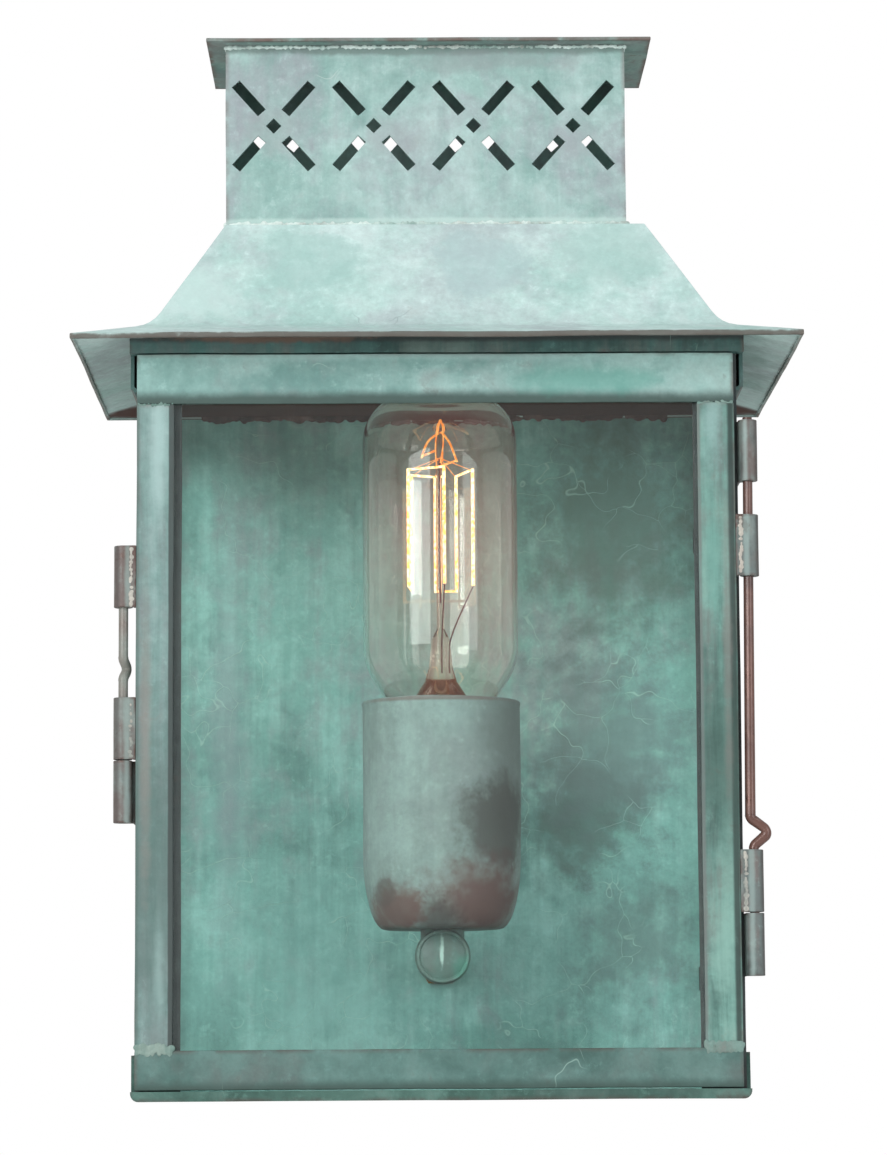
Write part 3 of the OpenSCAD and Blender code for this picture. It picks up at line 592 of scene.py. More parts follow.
@dataclass(frozen=True)
class Verdigris:
    """Finish of one sheet part: the patina's colours, how much each covers, cracks and patches."""

    main: str
    light: str
    deep: str
    grey: str
    brown: str = "#5E4A44"
    light_share: float = 0.5
    deep_share: float = 0.5
    grey_share: float = 0.3
    brown_share: float = 0.25
    streak: float = 0.35
    softness: float = 0.14
    rim: float = 0.7
    rim_reach: float = 1.4
    metallic: float = 0.25
    shine: float = 0.5
    relief: float = 0.5
    crust: float = 0.6
    cracks: float = 0.3
    crack_colour: str = "#B9DDD2"
    crack_scale: float = 58.0
    crack_width: float = 0.011
    crack_shade: float = 0.42
    crack_relief: float = 0.3
    seed: float = 0.0
    patches: tuple[Patch, ...] = ()

    def paint(self, name: str, low: Vector, high: Vector, effects: Effects) -> bpy.types.Material:
        """Makes the material of one piece.

        Args:
            name: Name of the material.
            low: Lowest corner of the piece's box, in metres.
            high: Highest corner of the box.
            effects: The shared shader groups.

        Returns:
            The material.
        """
        make = Coating(name)
        at = make.place()
        rim = make.group(effects.rim, Vector=at, Low=tuple(low), High=tuple(high), Reach=self.rim_reach * MM)
        skin = make.group(
            effects.patina,
            Vector=at,
            Seed=tuple(self.seed * step for step in SEED_STEP),
            Main=linear(self.main),
            Light=linear(self.light),
            Deep=linear(self.deep),
            Grey=linear(self.grey),
            Brown=linear(self.brown),
            Light_share=self.light_share,
            Deep_share=self.deep_share,
            Grey_share=self.grey_share,
            Brown_share=self.brown_share,
            Streak=self.streak,
            Soft=self.softness,
            Rim=make.times(rim.outputs[0], self.rim),
        )
        colour, height = skin.outputs["Color"], skin.outputs["Height"]
        for patch in self.patches:
            colour = patch.lay(make, at, colour, effects)
        if self.cracks > 0:
            hair = make.group(
                effects.hair, Vector=at, Scale=self.crack_scale, Width=self.crack_width, Share=self.cracks
            )
            colour = make.mix(make.times(hair.outputs[0], self.crack_shade), colour, linear(self.crack_colour))
            height = make.plus(height, make.times(hair.outputs[0], self.crack_relief))
        make.bump(height, self.relief, self.crust)
        make.drive(
            Base_Color=colour,
            Roughness=make.plus(skin.outputs["Roughness"], MEAN_SHINE - self.shine),
            Metallic=make.times(skin.outputs["Bare"], self.metallic),
        )
        return make.material


@dataclass(frozen=True)
class Glass:
    """Clear glass that lets lamp light through, with a painted glow round a hot filament if glow is set."""

    tint: str = "#F4FBF9"
    ior: float = 1.45
    roughness: float = 0.0
    clearness: float = 1.0
    # Strength of the painted glow: the glass itself emits round glow_centre.
    glow: float = 0.0
    glow_colour: str = "#FF7A5C"
    glow_centre: Point = (0, 0, 0)
    glow_radii: Point = (1, 1, 1)

    def paint(self, name: str, effects: Effects) -> bpy.types.Material:
        """Makes the glass material.

        Args:
            name: Name of the material.
            effects: The shared shader groups.

        Returns:
            The material.
        """
        make = Coating(name)
        make.drive(
            Base_Color=linear(self.tint), Roughness=self.roughness, IOR=self.ior,
            Transmission_Weight=self.clearness,
        )
        # Painted glow: the glass emits glow_colour, fading out over glow_radii.
        if self.glow > 0:
            halo = make.group(
                effects.patch, Vector=make.place(), Centre=metres(self.glow_centre),
                Radii=metres(self.glow_radii), Ragged=0.0, Soft=1.0,
            )
            lit = make.mix(halo.outputs[0], linear("#000000"), linear(self.glow_colour))
            make.drive(Emission_Color=lit, Emission_Strength=self.glow)
        clear = make.add("BsdfTransparent")
        clear.inputs[0].default_value = linear(self.tint)
        seen = make.choose(Ray.SHADOW, make.shader.outputs[0], clear.outputs[0])
        make.feed(make.tree.nodes["Material Output"].inputs["Surface"], seen)
        return make.material


@dataclass(frozen=True)
class Glow:
    """Hot wire, mottled between a pale and an orange heat."""

    wire: str = "#2A2018"
    pale: str = "#FFE2B0"
    orange: str = "#FFA850"
    window: Pair = (0.42, 0.6)
    strength: float = 2.6

    def paint(self, name: str) -> bpy.types.Material:
        """Makes the material.

        Args:
            name: Name of the material.

        Returns:
            The material.
        """
        make = Coating(name)
        share = make.step(make.noise(make.place(), HEAT_SPOTS).outputs[0], *self.window)
        heat = make.mix(share, linear(self.pale), linear(self.orange))
        make.drive(Base_Color=linear(self.wire), Emission_Color=heat, Emission_Strength=self.strength)
        return make.material


@dataclass(frozen=True)
class Solid:
    """Plain metal, ceramic or rubber with fine mottling, wear and grain."""

    base: str
    other: str
    roughness: float = 0.4
    metallic: float = 0.0
    scale: float = 300.0
    relief: float = 0.15
    glow: float = 0.0
    window: Pair = (0.4, 0.62)
    wear: float = 0.2
    pits: float = 0.3

    def paint(self, name: str) -> bpy.types.Material:
        """Makes the material.

        Args:
            name: Name of the material.

        Returns:
            The material.
        """
        make = Coating(name)
        spots = make.noise(make.place(), Grain(self.scale, 5, 0.6)).outputs[0]
        mask = make.step(spots, *self.window)
        colour = make.mix(mask, linear(self.base), linear(self.other))
        rough = make.plus(self.roughness - self.wear / 2, make.times(mask, self.wear))
        make.drive(Base_Color=colour, Metallic=self.metallic, Roughness=rough)
        make.bump(spots, self.relief, self.pits)
        # Painted glow: the colour is also emitted, on a part that is no lamp.
        if self.glow > 0:
            make.drive(Emission_Color=colour, Emission_Strength=self.glow)
        return make.material


# ---- modelling by hand ----


WELD = 2e-6
FLAT_ANGLE = 0.6
EDGE_SEGMENTS = 2
EDGE_ANGLE = 30.0
POLE_RADIUS = 0.01
BROAD_DENTS, SMALL_DENTS = 21.0, 62.0
SMALL_DENT_SHIFT = Vector((5.1, 2.3, 7.7))
SMALL_DENT_SHARE = 0.35
DENT_SEED = 1


def work_on(piece: bpy.types.Object) -> None:
    """Selects one piece alone and makes it the active one.

    Args:
        piece: The piece.
    """
    bpy.ops.object.select_all(action="DESELECT")
    piece.select_set(True)
    bpy.context.view_layer.objects.active = piece


def edit(piece: bpy.types.Object) -> None:
    """Enters edit mode on a piece, with all its points selected.

    Args:
        piece: The piece.
    """
    work_on(piece)
    bpy.ops.object.mode_set(mode="EDIT")
    bpy.ops.mesh.select_mode(type="VERT")
    bpy.ops.mesh.select_all(action="SELECT")


def leave() -> None:
    """Goes back to object mode."""
    bpy.ops.object.mode_set(mode="OBJECT")


def settle() -> None:
    """Moves the place, turn and size of what is selected into its mesh."""
    bpy.ops.object.transform_apply(location=True, rotation=True, scale=True)


def linked(name: str, data: bpy.types.ID) -> bpy.types.Object:
    """Puts a new object in the scene.

    Args:
        name: Name of the object.
        data: Its mesh, curve, light or camera.

    Returns:
        The object.
    """
    thing = bpy.data.objects.new(name, data)
    bpy.context.scene.collection.objects.link(thing)
    return thing


def finish_shape(piece: bpy.types.Object, angle: float = 35.0) -> None:
    """Applies a piece's place and modifiers and smooths its faces.

    Args:
        piece: The piece.
        angle: Edges sharper than this many degrees stay sharp.
    """
    work_on(piece)
    settle()
    for modifier in list(piece.modifiers):
        bpy.ops.object.modifier_apply(modifier=modifier.name)
    bpy.ops.object.shade_smooth_by_angle(angle=math.radians(angle))
    weighted = piece.modifiers.new("normals", "WEIGHTED_NORMAL")
    weighted.keep_sharp = True
    bpy.ops.object.modifier_apply(modifier=weighted.name)


def tidy_mesh(piece: bpy.types.Object) -> None:
    """Merges a piece's doubled points and turns all faces outwards.

    Args:
        piece: The piece.
    """
    edit(piece)
    bpy.ops.mesh.remove_doubles(threshold=WELD)
    bpy.ops.mesh.normals_make_consistent(inside=False)
    leave()


def bevel(piece: bpy.types.Object, width: float) -> None:
    """Bevels a piece's sharp edges.

    Args:
        piece: The piece.
        width: Width of the bevel in mm.
    """
    modifier = piece.modifiers.new("edges", "BEVEL")
    modifier.width = width * MM
    modifier.segments = EDGE_SEGMENTS
    modifier.limit_method = "ANGLE"
    modifier.angle_limit = math.radians(EDGE_ANGLE)
    modifier.miter_outer = "MITER_ARC"
    work_on(piece)
    bpy.ops.object.modifier_apply(modifier=modifier.name)


def beaten(at: Vector, depth: float) -> Vector:
    """Displacement of a point of hand-beaten sheet; the same for every sheet, so seams stay shut.

    Args:
        at: The point, in metres.
        depth: Greatest displacement in mm.

    Returns:
        The displacement in metres.
    """
    broad = noise.noise_vector(at * BROAD_DENTS)
    small = noise.noise_vector(at * SMALL_DENTS + SMALL_DENT_SHIFT)
    return (broad + SMALL_DENT_SHARE * small) * depth * MM


@dataclass(frozen=True)
class HandWork:
    """How a sheet is softened, in mm: its edges' width, its dents' depth and the cuts that let it bend."""

    edge: float = 0.28
    depth: float = 0.22
    pitch: float = 9.0


def sheet_copy(node: str, name: str, work: HandWork) -> bpy.types.Object:
    """Copies a CAD node into a new piece with soft edges and a hand-beaten surface.

    Args:
        node: CAD node to copy.
        name: Name of the new piece.
        work: How it is softened.

    Returns:
        The new piece.
    """
    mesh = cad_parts[node].data.copy()
    mesh.name = name
    mesh.materials.clear()
    piece = linked(name, mesh)
    work_on(piece)
    bpy.ops.mesh.customdata_custom_splitnormals_clear()
    edit(piece)
    bpy.ops.mesh.remove_doubles(threshold=WELD)
    bpy.ops.mesh.dissolve_limited(angle_limit=math.radians(FLAT_ANGLE))
    leave()
    if work.edge > 0:
        bevel(piece, work.edge)
    if work.depth > 0:
        edit(piece)
        low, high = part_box(node)
        for axis in range(3):
            cuts = int((high[axis] - low[axis]) / (work.pitch * MM))
            for i in range(1, cuts + 1):
                place = [0.0, 0.0, 0.0]
                normal = [0.0, 0.0, 0.0]
                place[axis] = low[axis] + (high[axis] - low[axis]) * i / (cuts + 1)
                normal[axis] = 1.0
                bpy.ops.mesh.select_all(action="SELECT")
                bpy.ops.mesh.bisect(plane_co=place, plane_no=normal)
        leave()
        for point in mesh.vertices:
            point.co += beaten(point.co, work.depth)
    finish_shape(piece)
    return piece


def turned(name: str, centre: Point, profile: list[Pair], sides: int) -> bpy.types.Object:
    """Turns a piece about an upright axis: a circle is extruded and sized ring by ring.

    Args:
        name: Name of the piece.
        centre: Point on the axis at height 0 of the profile, in mm.
        profile: Radius and height of each ring in mm, from the first to the last; radius 0 closes an end.
        sides: Points on each ring.

    Returns:
        The piece, at the origin with its place in its mesh.
    """
    x, y, z = metres(centre)
    radius, height = profile[0]
    last_r = max(radius, POLE_RADIUS)
    bpy.ops.object.select_all(action="DESELECT")
    bpy.ops.mesh.primitive_circle_add(
        vertices=sides, radius=last_r * MM, location=(x, y, z + height * MM), fill_type="NOTHING"
    )
    piece = bpy.context.object
    piece.name = piece.data.name = name
    settle()
    edit(piece)
    if radius == 0:
        bpy.ops.mesh.edge_face_add()
        bpy.ops.mesh.select_all(action="SELECT")
    for r, h in profile[1:]:
        r = max(r, POLE_RADIUS)
        bpy.ops.mesh.extrude_edges_move(TRANSFORM_OT_translate={"value": (0, 0, (h - height) * MM)})
        bpy.ops.transform.resize(value=(r / last_r, r / last_r, 1), center_override=(x, y, z + h * MM))
        last_r, height = r, h
    if profile[-1][0] == 0:
        bpy.ops.mesh.edge_face_add()
    leave()
    tidy_mesh(piece)
    return piece


def tube(name: str, points: list[Point], radius: float, smooth: bool = False) -> bpy.types.Object:
    """Makes a round wire along points, with closed ends.

    Args:
        name: Name of the piece.
        points: Points in mm.
        radius: Radius in mm.
        smooth: Whether the wire runs in smooth bends through the points.

    Returns:
        The wire as a mesh.
    """
    curve = bpy.data.curves.new(name, "CURVE")
    curve.dimensions = "3D"
    curve.bevel_depth = radius * MM
    curve.bevel_resolution = 3
    curve.use_fill_caps = True
    spline = curve.splines.new("NURBS" if smooth else "POLY")
    spline.points.add(len(points) - 1)
    for slot, point in zip(spline.points, points):
        slot.co = (*metres(point), 1.0)
    if smooth:
        spline.use_endpoint_u = True
        spline.order_u = 3
        spline.resolution_u = 6
    work_on(linked(name, curve))
    bpy.ops.object.convert(target="MESH")
    piece = bpy.context.object
    tidy_mesh(piece)
    finish_shape(piece, angle=50)
    return piece


def joined(name: str, parts: list[bpy.types.Object]) -> bpy.types.Object:
    """Joins parts into one piece.

    Args:
        name: Name of the piece.
        parts: The parts, two or more.

    Returns:
        The piece.
    """
    bpy.ops.object.select_all(action="DESELECT")
    for part in parts:
        part.select_set(True)
    bpy.context.view_layer.objects.active = parts[0]
    bpy.ops.object.join()
    parts[0].name = parts[0].data.name = name
    return parts[0]


def lump(at: Point, radii: Point) -> bpy.types.Object:
    """Makes one drop of solder, as a pressed ball.

    Args:
        at: Its centre in mm.
        radii: Its radii in mm.

    Returns:
        The drop.
    """
    bpy.ops.object.select_all(action="DESELECT")
    bpy.ops.mesh.primitive_ico_sphere_add(subdivisions=2, radius=MM, location=metres(at))
    drop = bpy.context.object
    drop.scale = radii
    settle()
    return drop


class Axis(IntEnum):
    """Axes of the shared frame: X across, Y out of the wall, Z up."""

    X = 0
    Y = 1
    Z = 2


@dataclass(frozen=True)
class Bead:
    """Size and roughness of a bead of solder, in mm and shares of its width."""

    width: float
    proud: float
    stray: float = 0.5
    spacing: float = 1.3
    width_range: Pair = (0.7, 1.35)
    proud_range: Pair = (0.7, 1.3)
    sidestep: float = 0.6


@dataclass(frozen=True)
class SolderRun:
    """A hand-laid run of solder between two points (mm), on sheet that faces along an axis."""

    start: Point
    end: Point
    bead: Bead
    face: Axis = Axis.Y

    def drops(self, dice: random.Random) -> list[bpy.types.Object]:
        """Lays the run as overlapping drops.

        Args:
            dice: Seeded source of the drops' differences.

        Returns:
            The drops.
        """
        a, b = Vector(self.start), Vector(self.end)
        bead = self.bead
        count = max(2, int((b - a).length / bead.spacing))
        made = []
        for i in range(count + 1):
            spot = a.lerp(b, i / count)
            radii = [bead.width * dice.uniform(*bead.width_range) for _ in Axis]
            radii[self.face] = bead.proud * dice.uniform(*bead.proud_range)
            for axis in Axis:
                if axis != self.face:
                    spot[axis] += bead.stray * bead.width * dice.uniform(-bead.sidestep, bead.sidestep)
            made.append(lump(tuple(spot), tuple(radii)))
        return made


@dataclass(frozen=True)
class SolderSkin:
    """How the drops of one piece of solder fuse: the seed of its dice and its fineness in mm."""

    seed: int
    voxel: float
    softness: float = 0.5
    rounds: int = 2

    def fuse(self, name: str, runs: list[SolderRun]) -> bpy.types.Object:
        """Fuses runs of solder into one rough piece.

        Args:
            name: Name of the piece.
            runs: The runs.

        Returns:
            The piece.
        """
        dice = random.Random(self.seed)
        piece = joined(name, [drop for run in runs for drop in run.drops(dice)])
        skin = piece.modifiers.new("fuse", "REMESH")
        skin.mode = "VOXEL"
        skin.voxel_size = self.voxel * MM
        soft = piece.modifiers.new("soft", "SMOOTH")
        soft.factor = self.softness
        soft.iterations = self.rounds
        finish_shape(piece, angle=60)
        return piece


# ---- sub-assemblies ----


class Body(Enum):
    """The CAD bodies that pieces ride on."""

    HOUSING = "housing"
    DOOR = "door"
    HINGE_ROD = "hinge_rod"
    LATCH_ROD = "latch_rod"


class Slot(Enum):
    """Names of the material slots."""

    SHEET = "verdigris"
    PALE = "verdigris_pale"
    DEEP = "verdigris_deep"
    CUP = "cup_patina"
    KNUCKLE = "knuckle_patina"
    HINGE_ROD = "copper_rod"
    LATCH_ROD = "latch_rod"
    PANE = "pane_glass"
    BULB = "bulb_glass"
    WIRE = "hook_wire"
    FILAMENT = "hot_filament"


SOLDER = Verdigris(
    main="#76958D", light="#93ACA3", deep="#587870", grey="#7E8580", brown="#6A5B50",
    light_share=0.4, rim=0.0, shine=0.6, relief=0.8, cracks=0.0, metallic=0.5, seed=9.0,
)
PANE = Glass()
# Both glasses carry a painted glow, orange emission near the filament for its halo on the bulb and its glints on
# the stem.
BULB_GLASS = Glass(
    tint="#FFFBF8", glow=0.06, glow_colour="#FF7468", glow_centre=(4, -62, 52), glow_radii=(34, 60, 60),
)
STEM_GLASS = Glass(
    tint="#FFEFE4", glow=0.05, glow_colour="#FFA070", glow_centre=(1, -62, 14), glow_radii=(18, 18, 20),
)
BRASS = Solid("#8A6B35", "#6A5230", 0.35, 0.9)
PLATED = Solid("#A89F8A", "#8C8573", 0.3, 0.9)
CERAMIC = Solid("#DAD6CA", "#C9C4B6", 0.6, 0.0, 200.0)
BLACK_GLAZE = Solid("#1C1C20", "#26262B", 0.15)
RUBBER = Solid("#1B1B1A", "#252523", 0.7, 0.0, 700.0)
WIRE = Solid("#5E3530", "#3B2522", 0.4, 0.5, 900.0)
# Orange wire with a weak emission: painted glints of the filament's light on the hooks.
PAINTED_GLINT_WIRE = Solid("#F08A30", "#FFC070", 0.4, 0.3, 700.0, 0.1, 1.0)
CLIP_WORK = HandWork(edge=0.12, depth=0)
PANE_WORK = HandWork(edge=0.25, depth=0)


@dataclass
class Assembly:
    """A sub-assembly: it makes its pieces, dresses them and gives each its body and material."""

    effects: Effects
    body: Body = Body.HOUSING

    def own(
        self, piece: bpy.types.Object, slot: Slot, material: bpy.types.Material,
        nodes: tuple[str, ...] = (), body: Body | None = None,
    ) -> bpy.types.Object:
        """Gives a finished piece its material and body, and hides the CAD nodes that it stands for.

        Args:
            piece: The piece.
            slot: Not used.
            material: Its material.
            nodes: CAD nodes that it replaces.
            body: Body that it rides on; the assembly's own if None.

        Returns:
            The piece.
        """
        piece.data.materials.clear()
        piece.data.materials.append(material)
        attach(piece, (body or self.body).value)
        if nodes:
            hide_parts(*nodes)
        LOG.info("%s: %d faces, rides on %s", piece.name, len(piece.data.polygons), (body or self.body).value)
        return piece

    def sheet(
        self, node: str, finish: Verdigris, slot: Slot, work: HandWork = HandWork(), body: Body | None = None
    ) -> bpy.types.Object:
        """Dresses a CAD sheet with a softened, hand-beaten copy of itself.

        Args:
            node: CAD node to stand for.
            finish: Its patina.
            slot: Material slot of the finish.
            work: How it is softened.
            body: Body that it rides on; the assembly's own if None.

        Returns:
            The new piece.
        """
        piece = sheet_copy(node, node + "_sheet", work)
        return self.own(piece, slot, finish.paint(node + "_patina", *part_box(node), self.effects), (node,), body)

    def pane(self, node: str) -> bpy.types.Object:
        """Dresses a CAD pane with ground edges and clear glass."""
        piece = sheet_copy(node, node + "_pane", PANE_WORK)
        return self.own(piece, Slot.PANE, PANE.paint(node + "_glass", self.effects), (node,))

    def coat(self, material: bpy.types.Material, *nodes: str) -> None:
        """Gives CAD nodes that keep their own mesh a material.

        Args:
            material: The material.
            *nodes: Names of the nodes.
        """
        for node in nodes:
            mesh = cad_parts[node].data
            mesh.materials.clear()
            mesh.materials.append(material)
            LOG.info("%s: coated with %s", node, material.name)

    def patina(self, finish: Verdigris, piece: bpy.types.Object) -> bpy.types.Material:
        """Makes a patina for a piece from its own box.

        Args:
            finish: The patina.
            piece: The piece.

        Returns:
            The material.
        """
        corners = [Vector(corner) for corner in piece.bound_box]
        low = Vector(min(c[i] for c in corners) for i in range(3))
        high = Vector(max(c[i] for c in corners) for i in range(3))
        return finish.paint(piece.name + "_patina", low, high, self.effects)


@dataclass
class Shell(Assembly):
    """The fixed body: back plate, corner posts, collar, tray and side panes."""

    back: Verdigris = Verdigris(
        main="#7FB4AC", light="#98C8C1", deep="#64928B", grey="#8D9FA0", brown="#6B5F5C",
        light_share=0.42, deep_share=0.36, grey_share=0.3, brown_share=0.05, streak=0.28, rim=0.4, cracks=0.75,
        seed=2.0, relief=0.6, softness=0.16,
        patches=(
            # The first two patches are the cup's painted shadow, falling to its right; the next two are painted
            # shade over the right-hand side of the plate.
            Patch((46, -1, -20), (30, 8, 26), "#42564F", 0.6, 1.5, 0.8),
            Patch((58, -1, -58), (22, 8, 30), "#586A69", 0.6, 1.6, 0.8),
            Patch((54, -1, 66), (42, 8, 56), "#4A5F56", 0.72, 1.3, 0.8),
            Patch((52, -1, 2), (38, 8, 40), "#5F7073", 0.7, 1.4, 0.8),
            Patch((-62, -1, 0), (8, 8, 90), "#8A9A9E", 0.6, 1.3, 0.9),
            # Painted shade under the eave at the upper left.
            Patch((-44, -1, 84), (44, 8, 22), "#6A887F", 0.4, 1.4, 0.9),
            Patch((-14, -1, -4), (10, 8, 18), "#7A8C8F", 0.55, 1.8, 0.7),
            Patch((-17, -1, -36), (9, 8, 12), "#788A8C", 0.5, 1.8, 0.7),
            Patch((20, -1, -88), (30, 8, 12), "#3F7D74", 0.5, 1.4, 0.8),
            Patch((-34, -1, -70), (30, 8, 40), "#86BDB6", 0.4, 1.5, 0.8),
        ),
    )
    # Corner posts and glass clips: a near-black grey that is painted shade, for the posts' faces in shadow behind
    # the door's stiles.
    shaded_jamb: Verdigris = Verdigris(
        main="#454E4E", light="#586664", deep="#2F3A3B", grey="#4B5152", brown="#443A37", light_share=0.25,
        brown_share=0.3, rim=0.3, cracks=0.0, seed=3.0,
    )
    # The collar's dark tones are partly its patina and partly painted shade under the eave.
    collar: Verdigris = Verdigris(
        main="#4B706C", light="#66908A", deep="#38524E", grey="#5A6A68", brown="#6A524B", brown_share=0.4,
        grey_share=0.4, light_share=0.3, seed=4.0,
        patches=(
            # Painted shadow of the eave: the near-black band along the collar's top.
            Patch((0, -122, 104.0), (240, 6, 2.8), "#35393A", 0.9, 0.5, 0.5),
            Patch((-46, -122, 103.4), (34, 6, 2.2), "#7C6052", 0.7, 1.7, 0.5),
        ),
    )
    tray: Verdigris = Verdigris(
        main="#44695F", light="#648C82", deep="#2C5047", grey="#5A706B", brown="#4C4540", light_share=0.35,
        streak=0.1, seed=5.0,
    )
    burnt: Verdigris = Verdigris(
        main="#4B3029", light="#7A5E54", deep="#33211D", grey="#5A4C45", brown="#3D2620", light_share=0.4,
        rim=0.0, cracks=0.0, seed=6.0,
    )
    back_work: HandWork = HandWork(pitch=10)
    flange: SolderRun = SolderRun((-69, -1.9, 100.9), (70, -1.9, 100.9), Bead(1.7, 0.7, 0.5, 1.9))
    flange_skin: SolderSkin = SolderSkin(seed=21, voxel=0.4)

    def build(self) -> None:
        """Dresses the body's sheets and panes and lays the torn brown solder at its back."""
        self.sheet("back_plate", self.back, Slot.SHEET, self.back_work)
        self.sheet("front_post_left", self.shaded_jamb, Slot.SHEET)
        self.sheet("front_post_right", self.shaded_jamb, Slot.SHEET)
        self.sheet("top_collar", self.collar, Slot.SHEET)
        self.sheet("bottom_tray", self.tray, Slot.DEEP)
        self.sheet("side_glass_clips", self.shaded_jamb, Slot.DEEP, CLIP_WORK)
        self.pane("side_glass_left")
        self.pane("side_glass_right")
        piece = self.flange_skin.fuse("flange_solder", [self.flange])
        self.own(piece, Slot.SHEET, self.patina(self.burnt, piece))


@dataclass
class Roofing(Assembly):
    """The hipped roof, the vented chimney and its cap."""

    slopes: Verdigris = Verdigris(
        main="#BCD8D3", light="#CADFDD", deep="#A6C9C3", grey="#B1C1C2", brown="#7C746C", light_share=0.4,
        deep_share=0.42, grey_share=0.4, brown_share=0.12, streak=0.1, rim=0.7, rim_reach=1.2, cracks=0.4,
        crack_colour="#8B9FA0", seed=7.0, shine=0.4, softness=0.16,
        patches=(
            # The first two patches lie only on faces looking down: a dark brown band at the back, partly the
            # brown of the solder there and partly painted shade, and painted shade under the front eave.
            Patch((0, -6, 102), (140, 9, 6), "#4B2F28", 1.0, 0.25, 0.3, (0, 0, -1)),
            Patch((0, -128, 96), (88, 10, 10), "#3E4644", 0.9, 0.4, 0.5, (0, 0, -1)),
            Patch((0, -139.5, 100.5), (180, 2.4, 1.9), "#575049", 0.9, 0.8, 0.4),
            Patch((-99, -70, 100.5), (2.0, 110, 1.7), "#6E655E", 0.65, 0.9, 0.5),
            Patch((99, -70, 100.5), (2.0, 110, 1.7), "#6E655E", 0.65, 0.9, 0.5),
            # Painted shade under the right-hand eave.
            Patch((86, -70, 96), (14, 90, 12), "#5F8078", 0.5, 1.2, 0.6, (0, 0, -1)),
            Patch((-70, -100, 116), (20, 60, 14), "#C4DCD8", 0.6, 1.6, 0.5),
            Patch((-36, -100, 128), (16, 60, 12), "#97BDB7", 0.45, 1.6, 0.3),
            Patch((12, -100, 126), (15, 60, 12), "#A3BDBE", 0.5, 1.6, 0.3),
            Patch((50, -100, 130), (18, 60, 12), "#9DBFB9", 0.4, 1.6, 0.4),
        ),
    )
    walls: Verdigris = Verdigris(
        main="#97B9B3", light="#AFC8C5", deep="#7CA39D", grey="#9AA3A8", brown="#857E7B", light_share=0.42,
        deep_share=0.4, grey_share=0.42, brown_share=0.12, streak=0.16, rim=0.65, rim_reach=1.6, cracks=0.35,
        crack_colour="#DCEBE6", seed=8.0, shine=0.4, softness=0.16,
        patches=(
            Patch((0, -93, 141.4), (140, 6, 1.7), "#C6DED8", 0.55, 0.9, 0.6),
            # Painted shadow of the cap along the chimney's top.
            Patch((0, -93, 191.4), (140, 6, 2.2), "#6E7F7A", 0.7, 1.3, 0.6),
            Patch((-46, -94, 168), (10, 20, 9), "#9AA3A5", 0.45, 1.7, 0.6, (0, -1, 0)),
            Patch((-14, -94, 166), (8, 20, 9), "#9BA5A7", 0.45, 1.7, 0.6, (0, -1, 0)),
            Patch((16, -94, 188), (26, 20, 5), "#8F999A", 0.5, 1.6, 0.6, (0, -1, 0)),
            Patch((40, -94, 165), (8, 20, 9), "#9CA6A9", 0.4, 1.7, 0.6, (0, -1, 0)),
        ),
    )
    lid: Verdigris = Verdigris(
        main="#7F9A94", light="#A0BDB6", deep="#64817B", grey="#7F8583", brown="#6E5F59", light_share=0.4,
        deep_share=0.45, grey_share=0.5, brown_share=0.4, streak=0.1, rim=0.9, rim_reach=1.8, cracks=0.2,
        seed=20.0, shine=0.4,
    )
    dull: Verdigris = Verdigris(
        main="#A9C6BF", light="#DCEBE6", deep="#7C9C94", grey="#9A9C95", brown="#776A5E", grey_share=0.4,
        light_share=0.7, brown_share=0.2, rim=0.0, cracks=0.0, seed=10.0,
    )
    thin_work: HandWork = HandWork(0.25, 0.3, 8)
    wall_work: HandWork = HandWork(0.26, 0.25, 9)
    foot_rise: float = 0.5
    foot_bead: Bead = Bead(0.9, 0.4)
    head_drop: float = 0.6
    head_bead: Bead = Bead(0.7, 0.4)
    standoff: float = 0.05
    skin: SolderSkin = SolderSkin(seed=31, voxel=0.35)

    def build(self) -> None:
        """Dresses the roof's sheets and lays the chimney's solder."""
        self.sheet("roof", self.slopes, Slot.PALE, self.thin_work)
        self.sheet("chimney", self.walls, Slot.PALE, self.wall_work)
        self.sheet("chimney_cap", self.lid, Slot.PALE, self.thin_work)
        self.chimney_solder()

    def chimney_solder(self) -> None:
        """Lays the rough solder along the chimney's foot and under its cap."""
        low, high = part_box("chimney")
        x0, x1, y0, y1, z0, z1 = (v / MM for v in (low.x, high.x, low.y, high.y, low.z, high.z))
        runs = []
        for z, bead in ((z0 + self.foot_rise, self.foot_bead), (z1 - self.head_drop, self.head_bead)):
            for y in (y0 - self.standoff, y1 + self.standoff):
                runs.append(SolderRun((x0, y, z), (x1, y, z), bead))
            for x in (x0 - self.standoff, x1 + self.standoff):
                runs.append(SolderRun((x, y0, z), (x, y1, z), bead, Axis.X))
        piece = self.skin.fuse("chimney_solder", runs)
        self.own(piece, Slot.PALE, self.patina(self.dull, piece))


